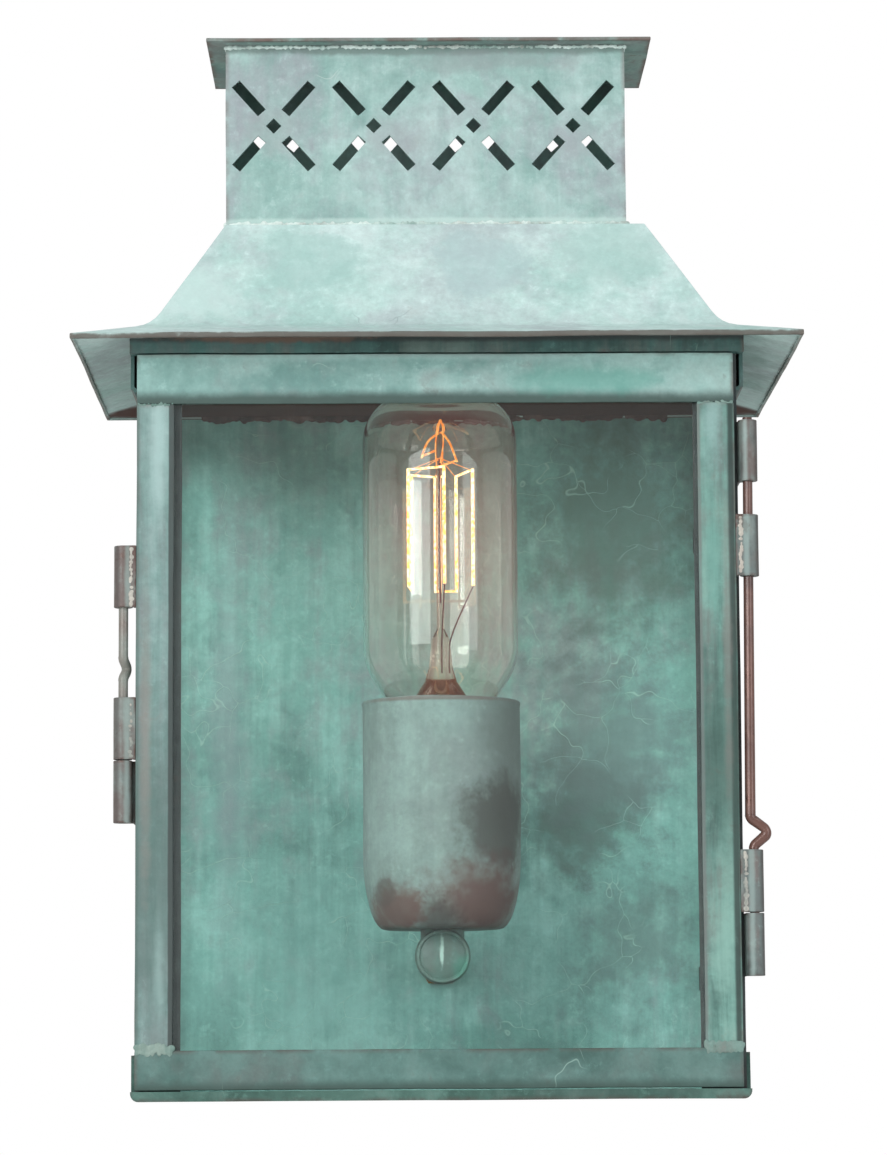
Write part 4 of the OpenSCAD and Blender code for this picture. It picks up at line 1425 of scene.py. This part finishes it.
@dataclass
class Door(Assembly):
    """The glazed door's frame, pane, clips and solder."""

    body: Body = Body.DOOR
    top: Verdigris = Verdigris(
        main="#8FB6B0", light="#A8CAC5", deep="#739C96", grey="#94A4A3", brown="#6B5F59", streak=0.05,
        rim=0.7, seed=11.0, light_share=0.42, grey_share=0.3, softness=0.14,
        patches=(
            # Painted shade: a dark band along the rail's lower edge.
            Patch((0, -122, 84.8), (300, 6, 4.6), "#3F544F", 0.95, 0.4, 0.7),
            Patch((-46, -122, 91), (24, 6, 4), "#648F8A", 0.45, 1.5, 0.9),
            Patch((44, -122, 91), (30, 6, 5), "#5FA396", 0.55, 1.4, 0.8),
            # Painted highlight: a pale band along the rail's top edge.
            Patch((-6, -122, 98.4), (120, 6, 2.4), "#B4D3CF", 0.5, 1.0, 0.9),
        ),
    )
    left: Verdigris = Verdigris(
        main="#789A95", light="#90ACAA", deep="#5E7E79", grey="#7E8C8C", brown="#7A6C66", streak=0.55,
        rim=0.45, seed=12.0, grey_share=0.42, softness=0.22,
        patches=(
            Patch((-77, -121, -46), (20, 8, 62), "#4C6A64", 0.65, 0.7, 0.9),
            Patch((-79.4, -121, -4), (2.4, 6, 60), "#8E8882", 0.55, 1.1, 0.9),
            # The next two are painted highlights down the middle of the stile.
            Patch((-76, -121, 74), (3.4, 6, 30), "#A9C8C5", 0.75, 0.9, 0.9),
            Patch((-75.6, -121, -70), (2.2, 6, 22), "#9DBBB7", 0.5, 1.1, 0.9),
            # Painted shade along the stile's outer edge, then painted shadow along its inner edge.
            Patch((-81.8, -121, 0), (0.9, 6, 300), "#4E6661", 0.6, 0.6, 0.8),
            Patch((-72.2, -121, 0), (1.3, 6, 300), "#3D4645", 0.9, 0.2, 0.3),
        ),
    )
    right: Verdigris = Verdigris(
        main="#5F8980", light="#7DAFA4", deep="#42665F", grey="#6F7876", brown="#75635C", streak=0.55,
        rim=0.5, seed=13.0, brown_share=0.3, softness=0.2,
        patches=(
            # Painted shade along the stile's outer edge, for the shadowed gap beside the hinge rod.
            Patch((80.0, -121, 0), (1.3, 6, 300), "#25322F", 0.85, 0.2, 0.6),
            Patch((76, -121, -12), (20, 8, 44), "#35514A", 0.7, 0.7, 0.9),
            Patch((78.4, -121, 14), (1.8, 6, 56), "#7B7874", 0.6, 1.1, 0.9),
            # Painted highlight down the middle of the stile.
            Patch((75, -121, 80), (5, 6, 24), "#9CBFBB", 0.75, 1.1, 0.9),
            Patch((74.6, -121, 40), (2.4, 6, 28), "#6FA59A", 0.5, 1.2, 0.9),
            # Painted highlight down the middle of the stile.
            Patch((76, -121, -66), (4, 6, 16), "#8DB8AC", 0.5, 1.6, 0.7),
            Patch((71.2, -121, 0), (0.9, 6, 300), "#6E7A78", 0.7, 0.4, 0.7),
        ),
    )
    foot: Verdigris = Verdigris(
        main="#4B706A", light="#688E88", deep="#385852", grey="#5F6A68", brown="#574C46", streak=0.05,
        rim=0.6, seed=14.0, softness=0.2,
        # Painted shade: a dark band along the rail's lower edge.
        patches=(Patch((0, -122, -101.2), (300, 6, 3.6), "#38524C", 0.85, 0.35, 0.8),),
    )
    frame_work: HandWork = HandWork(edge=0.5)
    inset: float = 0.6
    foot_bead: Bead = Bead(1.2, 0.32)
    foot_rise: float = 0.7
    rail_bead: Bead = Bead(0.9, 0.28)
    rail_drop: float = 0.6
    head_bead: Bead = Bead(0.45, 0.22, 0.9, 0.9)
    skin: SolderSkin = SolderSkin(seed=41, voxel=0.25)

    def build(self) -> None:
        """Dresses the door and lays the solder at its corners."""
        self.sheet("door_top_rail", self.top, Slot.SHEET, self.frame_work)
        self.sheet("door_bottom_rail", self.foot, Slot.DEEP, self.frame_work)
        self.sheet("door_left_stile", self.left, Slot.SHEET, self.frame_work)
        self.sheet("door_right_stile", self.right, Slot.SHEET, self.frame_work)
        self.sheet("door_glass_clips", Shell.shaded_jamb, Slot.DEEP, CLIP_WORK)
        self.pane("door_glass")
        self.corner_solder()

    def corner_solder(self) -> None:
        """Lays thick solder at the lower corners and thin solder at the upper ones."""
        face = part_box("door_left_stile")[0].y / MM
        runs = []
        for stile in ("door_left_stile", "door_right_stile"):
            low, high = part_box(stile)
            x0, x1, z0, z1 = low.x / MM + self.inset, high.x / MM - self.inset, low.z / MM, high.z / MM
            for z, bead in (
                (z0 + self.foot_rise, self.foot_bead), (z0 - self.rail_drop, self.rail_bead), (z1, self.head_bead)
            ):
                runs.append(SolderRun((x0, face, z), (x1, face, z), bead))
        piece = self.skin.fuse("door_corner_solder", runs)
        self.own(piece, Slot.SHEET, self.patina(SOLDER, piece))


@dataclass
class HingeAndLatch(Assembly):
    """The rolled knuckles, the kinked rods and the solder that holds the knuckles."""

    knuckle: Verdigris = Verdigris(
        main="#6C7876", light="#93ABA7", deep="#4A5351", grey="#756F6C", brown="#5F4C46", light_share=0.5,
        brown_share=0.5, grey_share=0.5, rim=0.7, rim_reach=0.9, cracks=0.0, seed=15.0, shine=0.6, softness=0.08,
        patches=(
            # Painted shade down the knuckles' outer sides and painted highlights down their inner sides by the
            # door, hinge first and latch after.
            Patch((87.4, -119, 0), (1.5, 8, 300), "#4A4442", 0.75, 0.5, 0.8),
            Patch((84.0, -122, 0), (1.2, 6, 300), "#9CB3AF", 0.55, 1.1, 0.8),
            Patch((-87.0, -119, 0), (1.2, 8, 300), "#555150", 0.6, 0.5, 0.8),
            Patch((-84.4, -122, 0), (1.2, 6, 300), "#93A9A4", 0.5, 1.1, 0.8),
        ),
    )
    knuckle_joint: Verdigris = Verdigris(
        main="#A8A69C", light="#CFCBC0", deep="#7E8A85", grey="#968F8A", brown="#7A6660", light_share=0.55,
        brown_share=0.35, rim=0.0, cracks=0.0, shine=0.65, relief=0.9, metallic=0.4, seed=21.0,
    )
    hinge_rod: Verdigris = Verdigris(
        main="#6A4A42", light="#85655B", deep="#452F2C", grey="#66544F", brown="#4E342E", light_share=0.4,
        brown_share=0.4, rim=0.0, cracks=0.0, metallic=0.7, shine=0.9, relief=0.12, seed=16.0, streak=0.1,
    )
    latch_rod: Verdigris = Verdigris(
        main="#848E86", light="#A5B5AD", deep="#5F6A66", grey="#857F79", brown="#735E55", light_share=0.5,
        brown_share=0.4, rim=0.0, cracks=0.0, metallic=0.5, shine=0.8, relief=0.25, seed=17.0, streak=0.1,
    )
    fixed: tuple[str, ...] = ("hinge_knuckle_top", "hinge_knuckle_bottom", "latch_keeper")
    moving: tuple[str, ...] = ("door_hinge_upper", "door_hinge_lower", "door_latch_upper", "door_latch_lower")
    knuckle_work: HandWork = HandWork(0.35, 0.15, 4)
    bent_work: HandWork = HandWork(edge=0, depth=0)
    straight_work: HandWork = HandWork(edge=0.2, depth=0)
    bow_top: float = 8.5
    bow_foot: float = 1.0
    bow_fade: float = 9.0
    bow: float = 0.8
    swell: float = 0.16
    bead: Bead = Bead(0.75, 0.5, 0.5, 1.1)
    bead_inset: Point = (1.3, 0.3, 1)
    skin: SolderSkin = SolderSkin(seed=51, voxel=0.22)

    def build(self) -> None:
        """Dresses the knuckles and rods and lays their solder."""
        for node in self.fixed:
            self.sheet(node, self.knuckle, Slot.KNUCKLE, self.knuckle_work)
        for node in self.moving:
            self.sheet(node, self.knuckle, Slot.KNUCKLE, self.knuckle_work, Body.DOOR)
        self.bow_rod(self.sheet("hinge_pin", self.hinge_rod, Slot.HINGE_ROD, self.bent_work, Body.HINGE_ROD))
        self.sheet("latch_pin", self.latch_rod, Slot.LATCH_ROD, self.straight_work, Body.LATCH_ROD)
        self.knuckle_solder()

    def bow_rod(self, rod: bpy.types.Object) -> None:
        """Bows the hinge rod's free stretch towards the body and swells it a little, as hand-drawn wire.

        Args:
            rod: The rod; its ends and what may slide into the knuckles keep their shape.
        """
        boxes = [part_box(node) for node in self.fixed[:2] + self.moving[:2]]
        lower = max(high.z for low, high in boxes if high.z < 0)
        upper = min(low.z for low, high in boxes if high.z >= 0)
        start, end = upper - self.bow_top * MM, lower + self.bow_foot * MM
        for point in rod.data.vertices:
            share = min(1.0, max(0.0, min(start - point.co.z, point.co.z - end) / (self.bow_fade * MM)))
            share = share * share * (3 - 2 * share)
            point.co += Vector((-self.bow * MM, 0, 0)) * share + point.normal * self.swell * MM * share

    def knuckle_solder(self) -> None:
        """Lays solder between the door's knuckles and the stiles that carry them."""
        across, behind, short = self.bead_inset
        runs = []
        for node in self.moving:
            low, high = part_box(node)
            x = low.x / MM + across if low.x > 0 else high.x / MM - across
            y = low.y / MM + behind
            runs.append(SolderRun((x, y, low.z / MM + short), (x, y, high.z / MM - short), self.bead))
        piece = self.skin.fuse("door_knuckle_solder", runs)
        self.own(piece, Slot.KNUCKLE, self.patina(self.knuckle_joint, piece), body=Body.DOOR)


@dataclass
class LampHolder(Assembly):
    """The arm with its elbow, the cup, the nuts and the lampholder."""

    cup_finish: Verdigris = Verdigris(
        main="#83948F", light="#97ADA9", deep="#6C7F7B", grey="#848D8C", brown="#735A54", light_share=0.4,
        deep_share=0.36, brown_share=0.08, streak=0.2, rim=0.0, cracks=0.12, crack_colour="#C4CFC9", seed=18.0,
        shine=0.55, softness=0.22,
        patches=(
            # The first two patches are painted shade down the cup's right-hand side.
            Patch((22, -76, -6), (14, 24, 34), "#6A7471", 0.65, 1.2, 0.7),
            Patch((18, -80, -28), (17, 26, 18), "#454541", 0.9, 1.3, 0.6),
            Patch((13, -82, -50), (21, 34, 18), "#603F3A", 0.95, 0.9, 0.65),
            Patch((0, -80, -57), (12, 34, 12), "#3E3A37", 0.8, 1.2, 0.7),
            Patch((-12, -80, -52), (11, 34, 11), "#68453F", 0.85, 1.3, 0.65),
            Patch((-15, -80, -47), (4, 24, 5), "#4C4642", 0.5, 1.9, 0.5),
            Patch((0, -84, 7.6), (30, 30, 0.9), "#75605B", 0.7, 0.6, 0.6),
        ),
    )
    elbow_finish: Verdigris = Verdigris(
        main="#5F837A", light="#97B9AF", deep="#3C685E", grey="#64716C", brown="#5E5A50", rim=0.0, cracks=0.5,
        seed=19.0, shine=0.7, light_share=0.3, deep_share=0.5,
        patches=(
            Patch((1.0, -70, -64), (1.0, 8, 7), "#C9E4DA", 0.8, 2.2, 0.5),
            Patch((6.5, -70, -68), (4, 8, 5), "#4E8F7E", 0.7, 1.6, 0.7),
            Patch((-3, -70, -63), (3.6, 8, 6), "#536662", 0.7, 1.6, 0.7),
            Patch((6, -70, -61), (2.6, 8, 4), "#5A6A66", 0.6, 1.8, 0.6),
        ),
    )
    foot_r: float = 16.5
    foot_curve: float = 20.0
    curve_step: int = 10
    wall_heights: tuple[float, ...] = (26, 32, 38, 44, 50, 56, 61)
    rolled_rim: tuple[Pair, ...] = ((0, -1.4), (0.18, -0.9), (0.2, -0.4), (-0.1, 0), (-0.7, -0.05), (-1.0, -0.6))
    wall: float = 1.0
    inner_heights: tuple[float, ...] = (56, 44, 32, 20)
    inner_foot_r: float = 14
    floor: float = 1.2
    bore_r: float = 5.2
    dents: float = 0.3
    cup_sides: int = 72
    elbow_rise: float = 7.7
    elbow_proud: float = 0.3
    elbow_profile: tuple[Pair, ...] = (
        (0, 0.25), (2.5, 0.2), (5.0, 0.6), (6.0, 1.0), (6.35, 1.25), (6.7, 0.85), (7.3, 0.9), (7.8, 1.7),
        (7.9, 3.4), (7.6, 5.6), (7.0, 6.6), (6.2, 6.8), (0, 6.8),
    )
    elbow_sides: int = 56

    def build(self) -> None:
        """Makes the cup and the elbow's cap and coats the hidden parts."""
        self.cup()
        self.elbow()
        self.coat(
            BRASS.paint("dull_brass"), "arm_nut", "holder_tube", "holder_nut", "lampholder_shell",
            "lampholder_contact", "earth_terminal",
        )
        self.coat(RUBBER.paint("bush_rubber"), "cable_bush")
        self.coat(CERAMIC.paint("holder_ceramic"), "lampholder")

    def cup(self) -> None:
        """Turns the cup with a rolled rim and a softly beaten wall."""
        low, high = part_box("holder_cup")
        centre = ((low.x + high.x) / 2 / MM, (low.y + high.y) / 2 / MM, low.z / MM)
        r = (high.x - low.x) / 2 / MM
        tall = (high.z - low.z) / MM
        turns = (math.radians(self.curve_step * i) for i in range(90 // self.curve_step + 1))
        profile = [(self.bore_r, 0)]
        profile += [
            (self.foot_r + (r - self.foot_r) * math.sin(a), self.foot_curve - self.foot_curve * math.cos(a))
            for a in turns
        ]
        profile += [(r, h) for h in self.wall_heights]
        profile += [(r + out, tall + up) for out, up in self.rolled_rim]
        profile += [(r - self.wall, h) for h in self.inner_heights]
        profile += [(self.inner_foot_r, self.floor), (self.bore_r, self.floor), (self.bore_r, 0)]
        piece = turned("lamp_cup", centre, profile, self.cup_sides)
        for point in piece.data.vertices:
            point.co += beaten(point.co, self.dents)
        finish_shape(piece, angle=40)
        self.own(piece, Slot.CUP, self.patina(self.cup_finish, piece), ("holder_cup",))

    def elbow(self) -> None:
        """Turns the domed cap on the elbow's front and coats the arm behind it."""
        low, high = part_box("holder_arm")
        cap = turned("elbow_cap", (0, 0, 0), [(r, -h) for r, h in self.elbow_profile], self.elbow_sides)
        cap.rotation_euler = (math.radians(90), 0, 0)
        cap.location = metres(
            ((low.x + high.x) / 2 / MM, low.y / MM - self.elbow_proud, low.z / MM + self.elbow_rise)
        )
        finish_shape(cap, angle=40)
        tidy_mesh(cap)
        material = self.patina(self.elbow_finish, cap)
        self.own(cap, Slot.CUP, material)
        self.coat(material, "holder_arm")


@dataclass
class Bulb(Assembly):
    """The clear tubular bulb: its glass, mount, filament, hooks and screw cap.

    Routes of wires hang from the filament's head: how far to the side, up and to the front, in mm.
    """

    hot: Glow = Glow()
    crown_rise: float = 1.6
    neck: float = 12.6
    waist: float = 20.6
    foot_swell: float = 0.0768
    foot_power: float = 1.7
    foot_heights: tuple[float, ...] = (3, 4.5, 6, 8, 10, 12, 14, 16, 18, 20.5)
    wall_heights: tuple[float, ...] = (25, 34, 43, 52, 61, 70)
    shoulder_drop: float = 14.5
    shoulder_rise: float = 13.4
    shoulder_steps: int = 14
    crown_r: float = 10.0
    crown: tuple[Pair, ...] = ((8, 0.7), (5.5, 0.35), (2.5, 0.1), (0, 0))
    wall: float = 0.7
    sides: int = 96
    angles: tuple[float, ...] = (276.0, 208.0, 142.0, 97.0, 62.0, 335.0)
    cage_r: float = 10.3
    cage_inset: float = 0.35
    cage_corner: float = 0.5
    filament_r: float = 0.45
    hook_r: float = 0.3
    hook_routes: tuple[tuple[Point, ...], ...] = (
        ((-0.7, 1, 0), (-1.3, 7, 0), (-0.5, 12, 0), (0.3, 16.2, 0), (1.0, 12, 0), (1.0, 7, 0), (0.2, 2.5, 0)),
        ((-0.4, 11, 1), (-2.8, 9.5, 2), (-4.4, 6.5, 3), (-5.2, 3.6, 3)),
        ((0.5, 11.5, 1), (2.6, 9, 2), (3.9, 5.5, 3), (5.0, 2.4, 3)),
        ((-5.0, 4.2, 3), (-3.2, 5.0, 2), (-1.4, 6.0, 1)),
        ((-1.0, 1.2, 1), (2.0, 1.9, 2), (4.9, 2.9, 3)),
    )
    stay_r: float = 0.1
    stay_top: Point = (0, 4, 0)
    stay_points: tuple[Pair, ...] = ((4, 2.4), (9.9, -0.2))
    lead_r: float = 0.22
    rod_route: tuple[Point, ...] = ((0, -38, 0), (-0.2, -20, 0), (0, 4, 0))
    lead_points: tuple[Pair, ...] = ((2.2, 14), (2.0, 21), (5, 29))
    lead_gap: float = 0.2
    x: float = field(init=False)
    y: float = field(init=False)
    r: float = field(init=False)
    foot: float = field(init=False)
    top: float = field(init=False)
    cage_foot: float = field(init=False)
    cage_head: float = field(init=False)

    def __post_init__(self) -> None:
        """Reads the bulb's axis, radius and heights from the CAD nodes."""
        low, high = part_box("bulb_glass")
        self.x = (low.x + high.x) / 2 / MM
        self.y = (low.y + high.y) / 2 / MM
        self.r = (high.x - low.x) / 2 / MM
        self.foot, self.top = low.z / MM, high.z / MM
        low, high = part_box("filament")
        self.cage_foot, self.cage_head = low.z / MM + self.cage_inset, high.z / MM - self.cage_inset

    def around(self, angle: float, r: float, z: float) -> Point:
        """Point at an angle and radius about the bulb's axis."""
        a = math.radians(angle)
        return (self.x + r * math.cos(a), self.y + r * math.sin(a), z)

    def aloft(self, side: float, rise: float, ahead: float) -> Point:
        """Point beside the bulb's axis, at a height above the filament's head."""
        return (self.x + side, self.y - ahead, self.cage_head + rise)

    def build(self) -> None:
        """Makes the glass, the filament and the wires, and coats the cap."""
        self.glass()
        self.filament()
        self.hooks()
        self.leads()
        self.coat(STEM_GLASS.paint("stem_glass", self.effects), "bulb_stem")
        self.coat(PLATED.paint("plated_metal"), "bulb_cap", "bulb_contact")
        self.coat(BLACK_GLAZE.paint("black_glaze"), "bulb_insulator")

    def glass(self) -> None:
        """Turns the bulb's outer skin and gives it its wall."""
        top = self.top + self.crown_rise
        profile = [(self.neck, 0)]
        profile += [
            (max(self.neck, self.r - self.foot_swell * (self.waist - h) ** self.foot_power), h)
            for h in self.foot_heights
        ]
        profile += [(self.r, h) for h in self.wall_heights]
        for i in range(self.shoulder_steps + 1):
            a = math.radians(90 * i / self.shoulder_steps)
            rise = top - self.shoulder_drop - self.foot + self.shoulder_rise * math.sin(a)
            profile.append((self.crown_r + (self.r - self.crown_r) * math.cos(a), rise))
        profile += [(r, top - self.foot - drop) for r, drop in self.crown]
        piece = turned("bulb_envelope", (self.x, self.y, self.foot), profile, self.sides)
        wall = piece.modifiers.new("wall", "SOLIDIFY")
        wall.thickness = self.wall * MM
        wall.offset = -1
        finish_shape(piece, angle=60)
        self.own(piece, Slot.BULB, BULB_GLASS.paint("envelope_glass", self.effects), ("bulb_glass",))

    def filament(self) -> None:
        """Draws the glowing wire up and down round the mount."""
        points: list[Point] = []
        for i, angle in enumerate(self.angles):
            rising = i % 2 == 0
            z0, z1 = (self.cage_foot, self.cage_head) if rising else (self.cage_head, self.cage_foot)
            step = self.cage_corner if rising else -self.cage_corner
            points += [self.around(angle, self.cage_r, z) for z in (z0, z0 + step, z1 - step, z1)]
        piece = tube("filament_wire", points, self.filament_r)
        self.own(piece, Slot.FILAMENT, self.hot.paint("hot_filament"), ("filament",))

    def hooks(self) -> None:
        """Bends the support hooks, whose orange emission is painted glints of the filament's light, and the thin
        stays over the filament.
        """
        parts = []
        for i, route in enumerate(self.hook_routes):
            parts.append(tube(f"hook_{i}", [self.aloft(*p) for p in route], self.hook_r, smooth=True))
        for i, angle in enumerate(self.angles):
            route = [self.aloft(*self.stay_top)]
            route += [self.around(angle, r, self.cage_head + up) for r, up in self.stay_points]
            parts.append(tube(f"stay_{i}", route, self.stay_r, smooth=True))
        self.own(joined("support_hooks", parts), Slot.WIRE, PAINTED_GLINT_WIRE.paint("painted_glint_hooks"), ("filament_hooks",))

    def leads(self) -> None:
        """Stands the mount's rod and runs the two lead wires to the filament's ends."""
        parts = [tube("mount_rod", [self.aloft(*p) for p in self.rod_route], self.lead_r, smooth=True)]
        for i, angle in enumerate((self.angles[0], self.angles[-1])):
            route = [self.around(angle, r, self.foot + up) for r, up in self.lead_points]
            route.append(self.around(angle, self.cage_r, self.cage_foot - self.lead_gap))
            parts.append(tube(f"lead_{i}", route, self.lead_r, smooth=True))
        self.own(joined("bulb_leads", parts), Slot.WIRE, WIRE.paint("hook_wire"), ("lead_wires",))


@dataclass(frozen=True)
class SoftBox:
    """One soft light: its place, its aim and its size in metres, its power in watts and its colour."""

    name: str
    at: Point
    aim: Point
    size: Pair
    watts: float
    tint: str = "#FFFFFF"

    def hang(self) -> None:
        """Hangs the light."""
        data = bpy.data.lights.new(self.name, "AREA")
        data.shape = "RECTANGLE"
        data.size, data.size_y = self.size
        data.energy = self.watts
        data.color = linear(self.tint)[:3]
        lamp = linked(self.name, data)
        lamp.location = self.at
        lamp.rotation_euler = (Vector(self.aim) - Vector(self.at)).to_track_quat("-Z", "Y").to_euler()


@dataclass
class Studio:
    """Camera at the photograph's angle, soft lights, white surround and pale floor."""

    eye: Point = (-11.281, -1192.156, -95.417)
    pitch: float = 0.12291053
    yaw: float = -0.01187191
    roll: float = -0.00627984
    focal_px: float = 3968.546
    frame_px: tuple[int, int] = (887, 1155)
    sensor: float = 36.0
    clip: Pair = (0.01, 50.0)
    white: str = "#FFFFFF"
    surround_light: float = 0.55
    floor_size: float = 4.0
    floor_z: float = -0.32
    floor_colour: str = "#EDEDEB"
    floor_roughness: float = 0.9
    lights: tuple[SoftBox, ...] = (
        SoftBox("key_left", (-0.79, -1.37, 0.46), (0, -0.05, 0.02), (0.9, 0.9), 11),
        SoftBox("strip_left", (-0.88, -1.27, 0.25), (0, -0.06, 0.05), (0.46, 0.075), 0.75),
        SoftBox("fill_right", (1.3, -1.3, 0.2), (0, -0.05, 0), (0.8, 1.2), 7, "#F8FAFF"),
        SoftBox("top", (0.1, -0.4, 1.5), (0, -0.06, 0.1), (1.0, 0.8), 3),
    )

    def camera(self) -> None:
        """Sets up the camera."""
        ahead = Vector((-math.sin(self.yaw) * math.cos(self.pitch), math.cos(self.yaw) * math.cos(self.pitch),
                        math.sin(self.pitch)))
        right = Vector((math.cos(self.yaw), math.sin(self.yaw), 0))
        up = right.cross(ahead)
        side = math.cos(self.roll) * right + math.sin(self.roll) * up
        top = math.cos(self.roll) * up - math.sin(self.roll) * right
        data = bpy.data.cameras.new("photo_camera")
        data.sensor_fit = "VERTICAL"
        data.sensor_height = self.sensor
        data.lens = self.focal_px / self.frame_px[1] * self.sensor
        data.clip_start, data.clip_end = self.clip
        camera = linked("photo_camera", data)
        turn = Matrix((side, top, -ahead)).transposed().to_4x4()
        camera.matrix_world = Matrix.Translation(Vector(self.eye) * MM) @ turn
        bpy.context.scene.camera = camera

    def surround(self) -> None:
        """Makes the white surround: white to the camera, soft grey as light."""
        world = bpy.data.worlds.new("white_surround")
        bpy.context.scene.world = world
        world.use_nodes = True
        make = Nodes(world.node_tree)
        light = world.node_tree.nodes["Background"]
        seen = make.add("Background")
        for background, strength in ((light, self.surround_light), (seen, 1.0)):
            background.inputs[0].default_value = linear(self.white)
            background.inputs[1].default_value = strength
        chosen = make.choose(Ray.CAMERA, light.outputs[0], seen.outputs[0])
        make.feed(world.node_tree.nodes["World Output"].inputs[0], chosen)

    def floor(self) -> None:
        """Lays the pale floor."""
        bpy.ops.object.select_all(action="DESELECT")
        bpy.ops.mesh.primitive_plane_add(size=self.floor_size, location=(0, 0, self.floor_z))
        floor = bpy.context.object
        floor.name = "floor"
        settle()
        make = Coating("pale_floor")
        make.drive(Base_Color=linear(self.floor_colour), Roughness=self.floor_roughness)
        floor.data.materials.append(make.material)

    def build(self) -> None:
        """Builds the studio."""
        self.camera()
        self.surround()
        self.floor()
        for light in self.lights:
            light.hang()
        bpy.context.scene.view_settings.view_transform = "Standard"


def main() -> None:
    """Builds the studio and every sub-assembly, in order."""
    logging.basicConfig(level=logging.INFO, format="%(message)s")
    noise.seed_set(DENT_SEED)
    effects = Effects(
        rim=box_rim_group(), patch=patch_group(), hair=hairline_group(), patina=PatinaGroup().build()
    )
    Studio().build()
    for assembly in (Shell, Roofing, Door, HingeAndLatch, LampHolder, Bulb):
        assembly(effects).build()


if __name__ == "__main__":
    main()
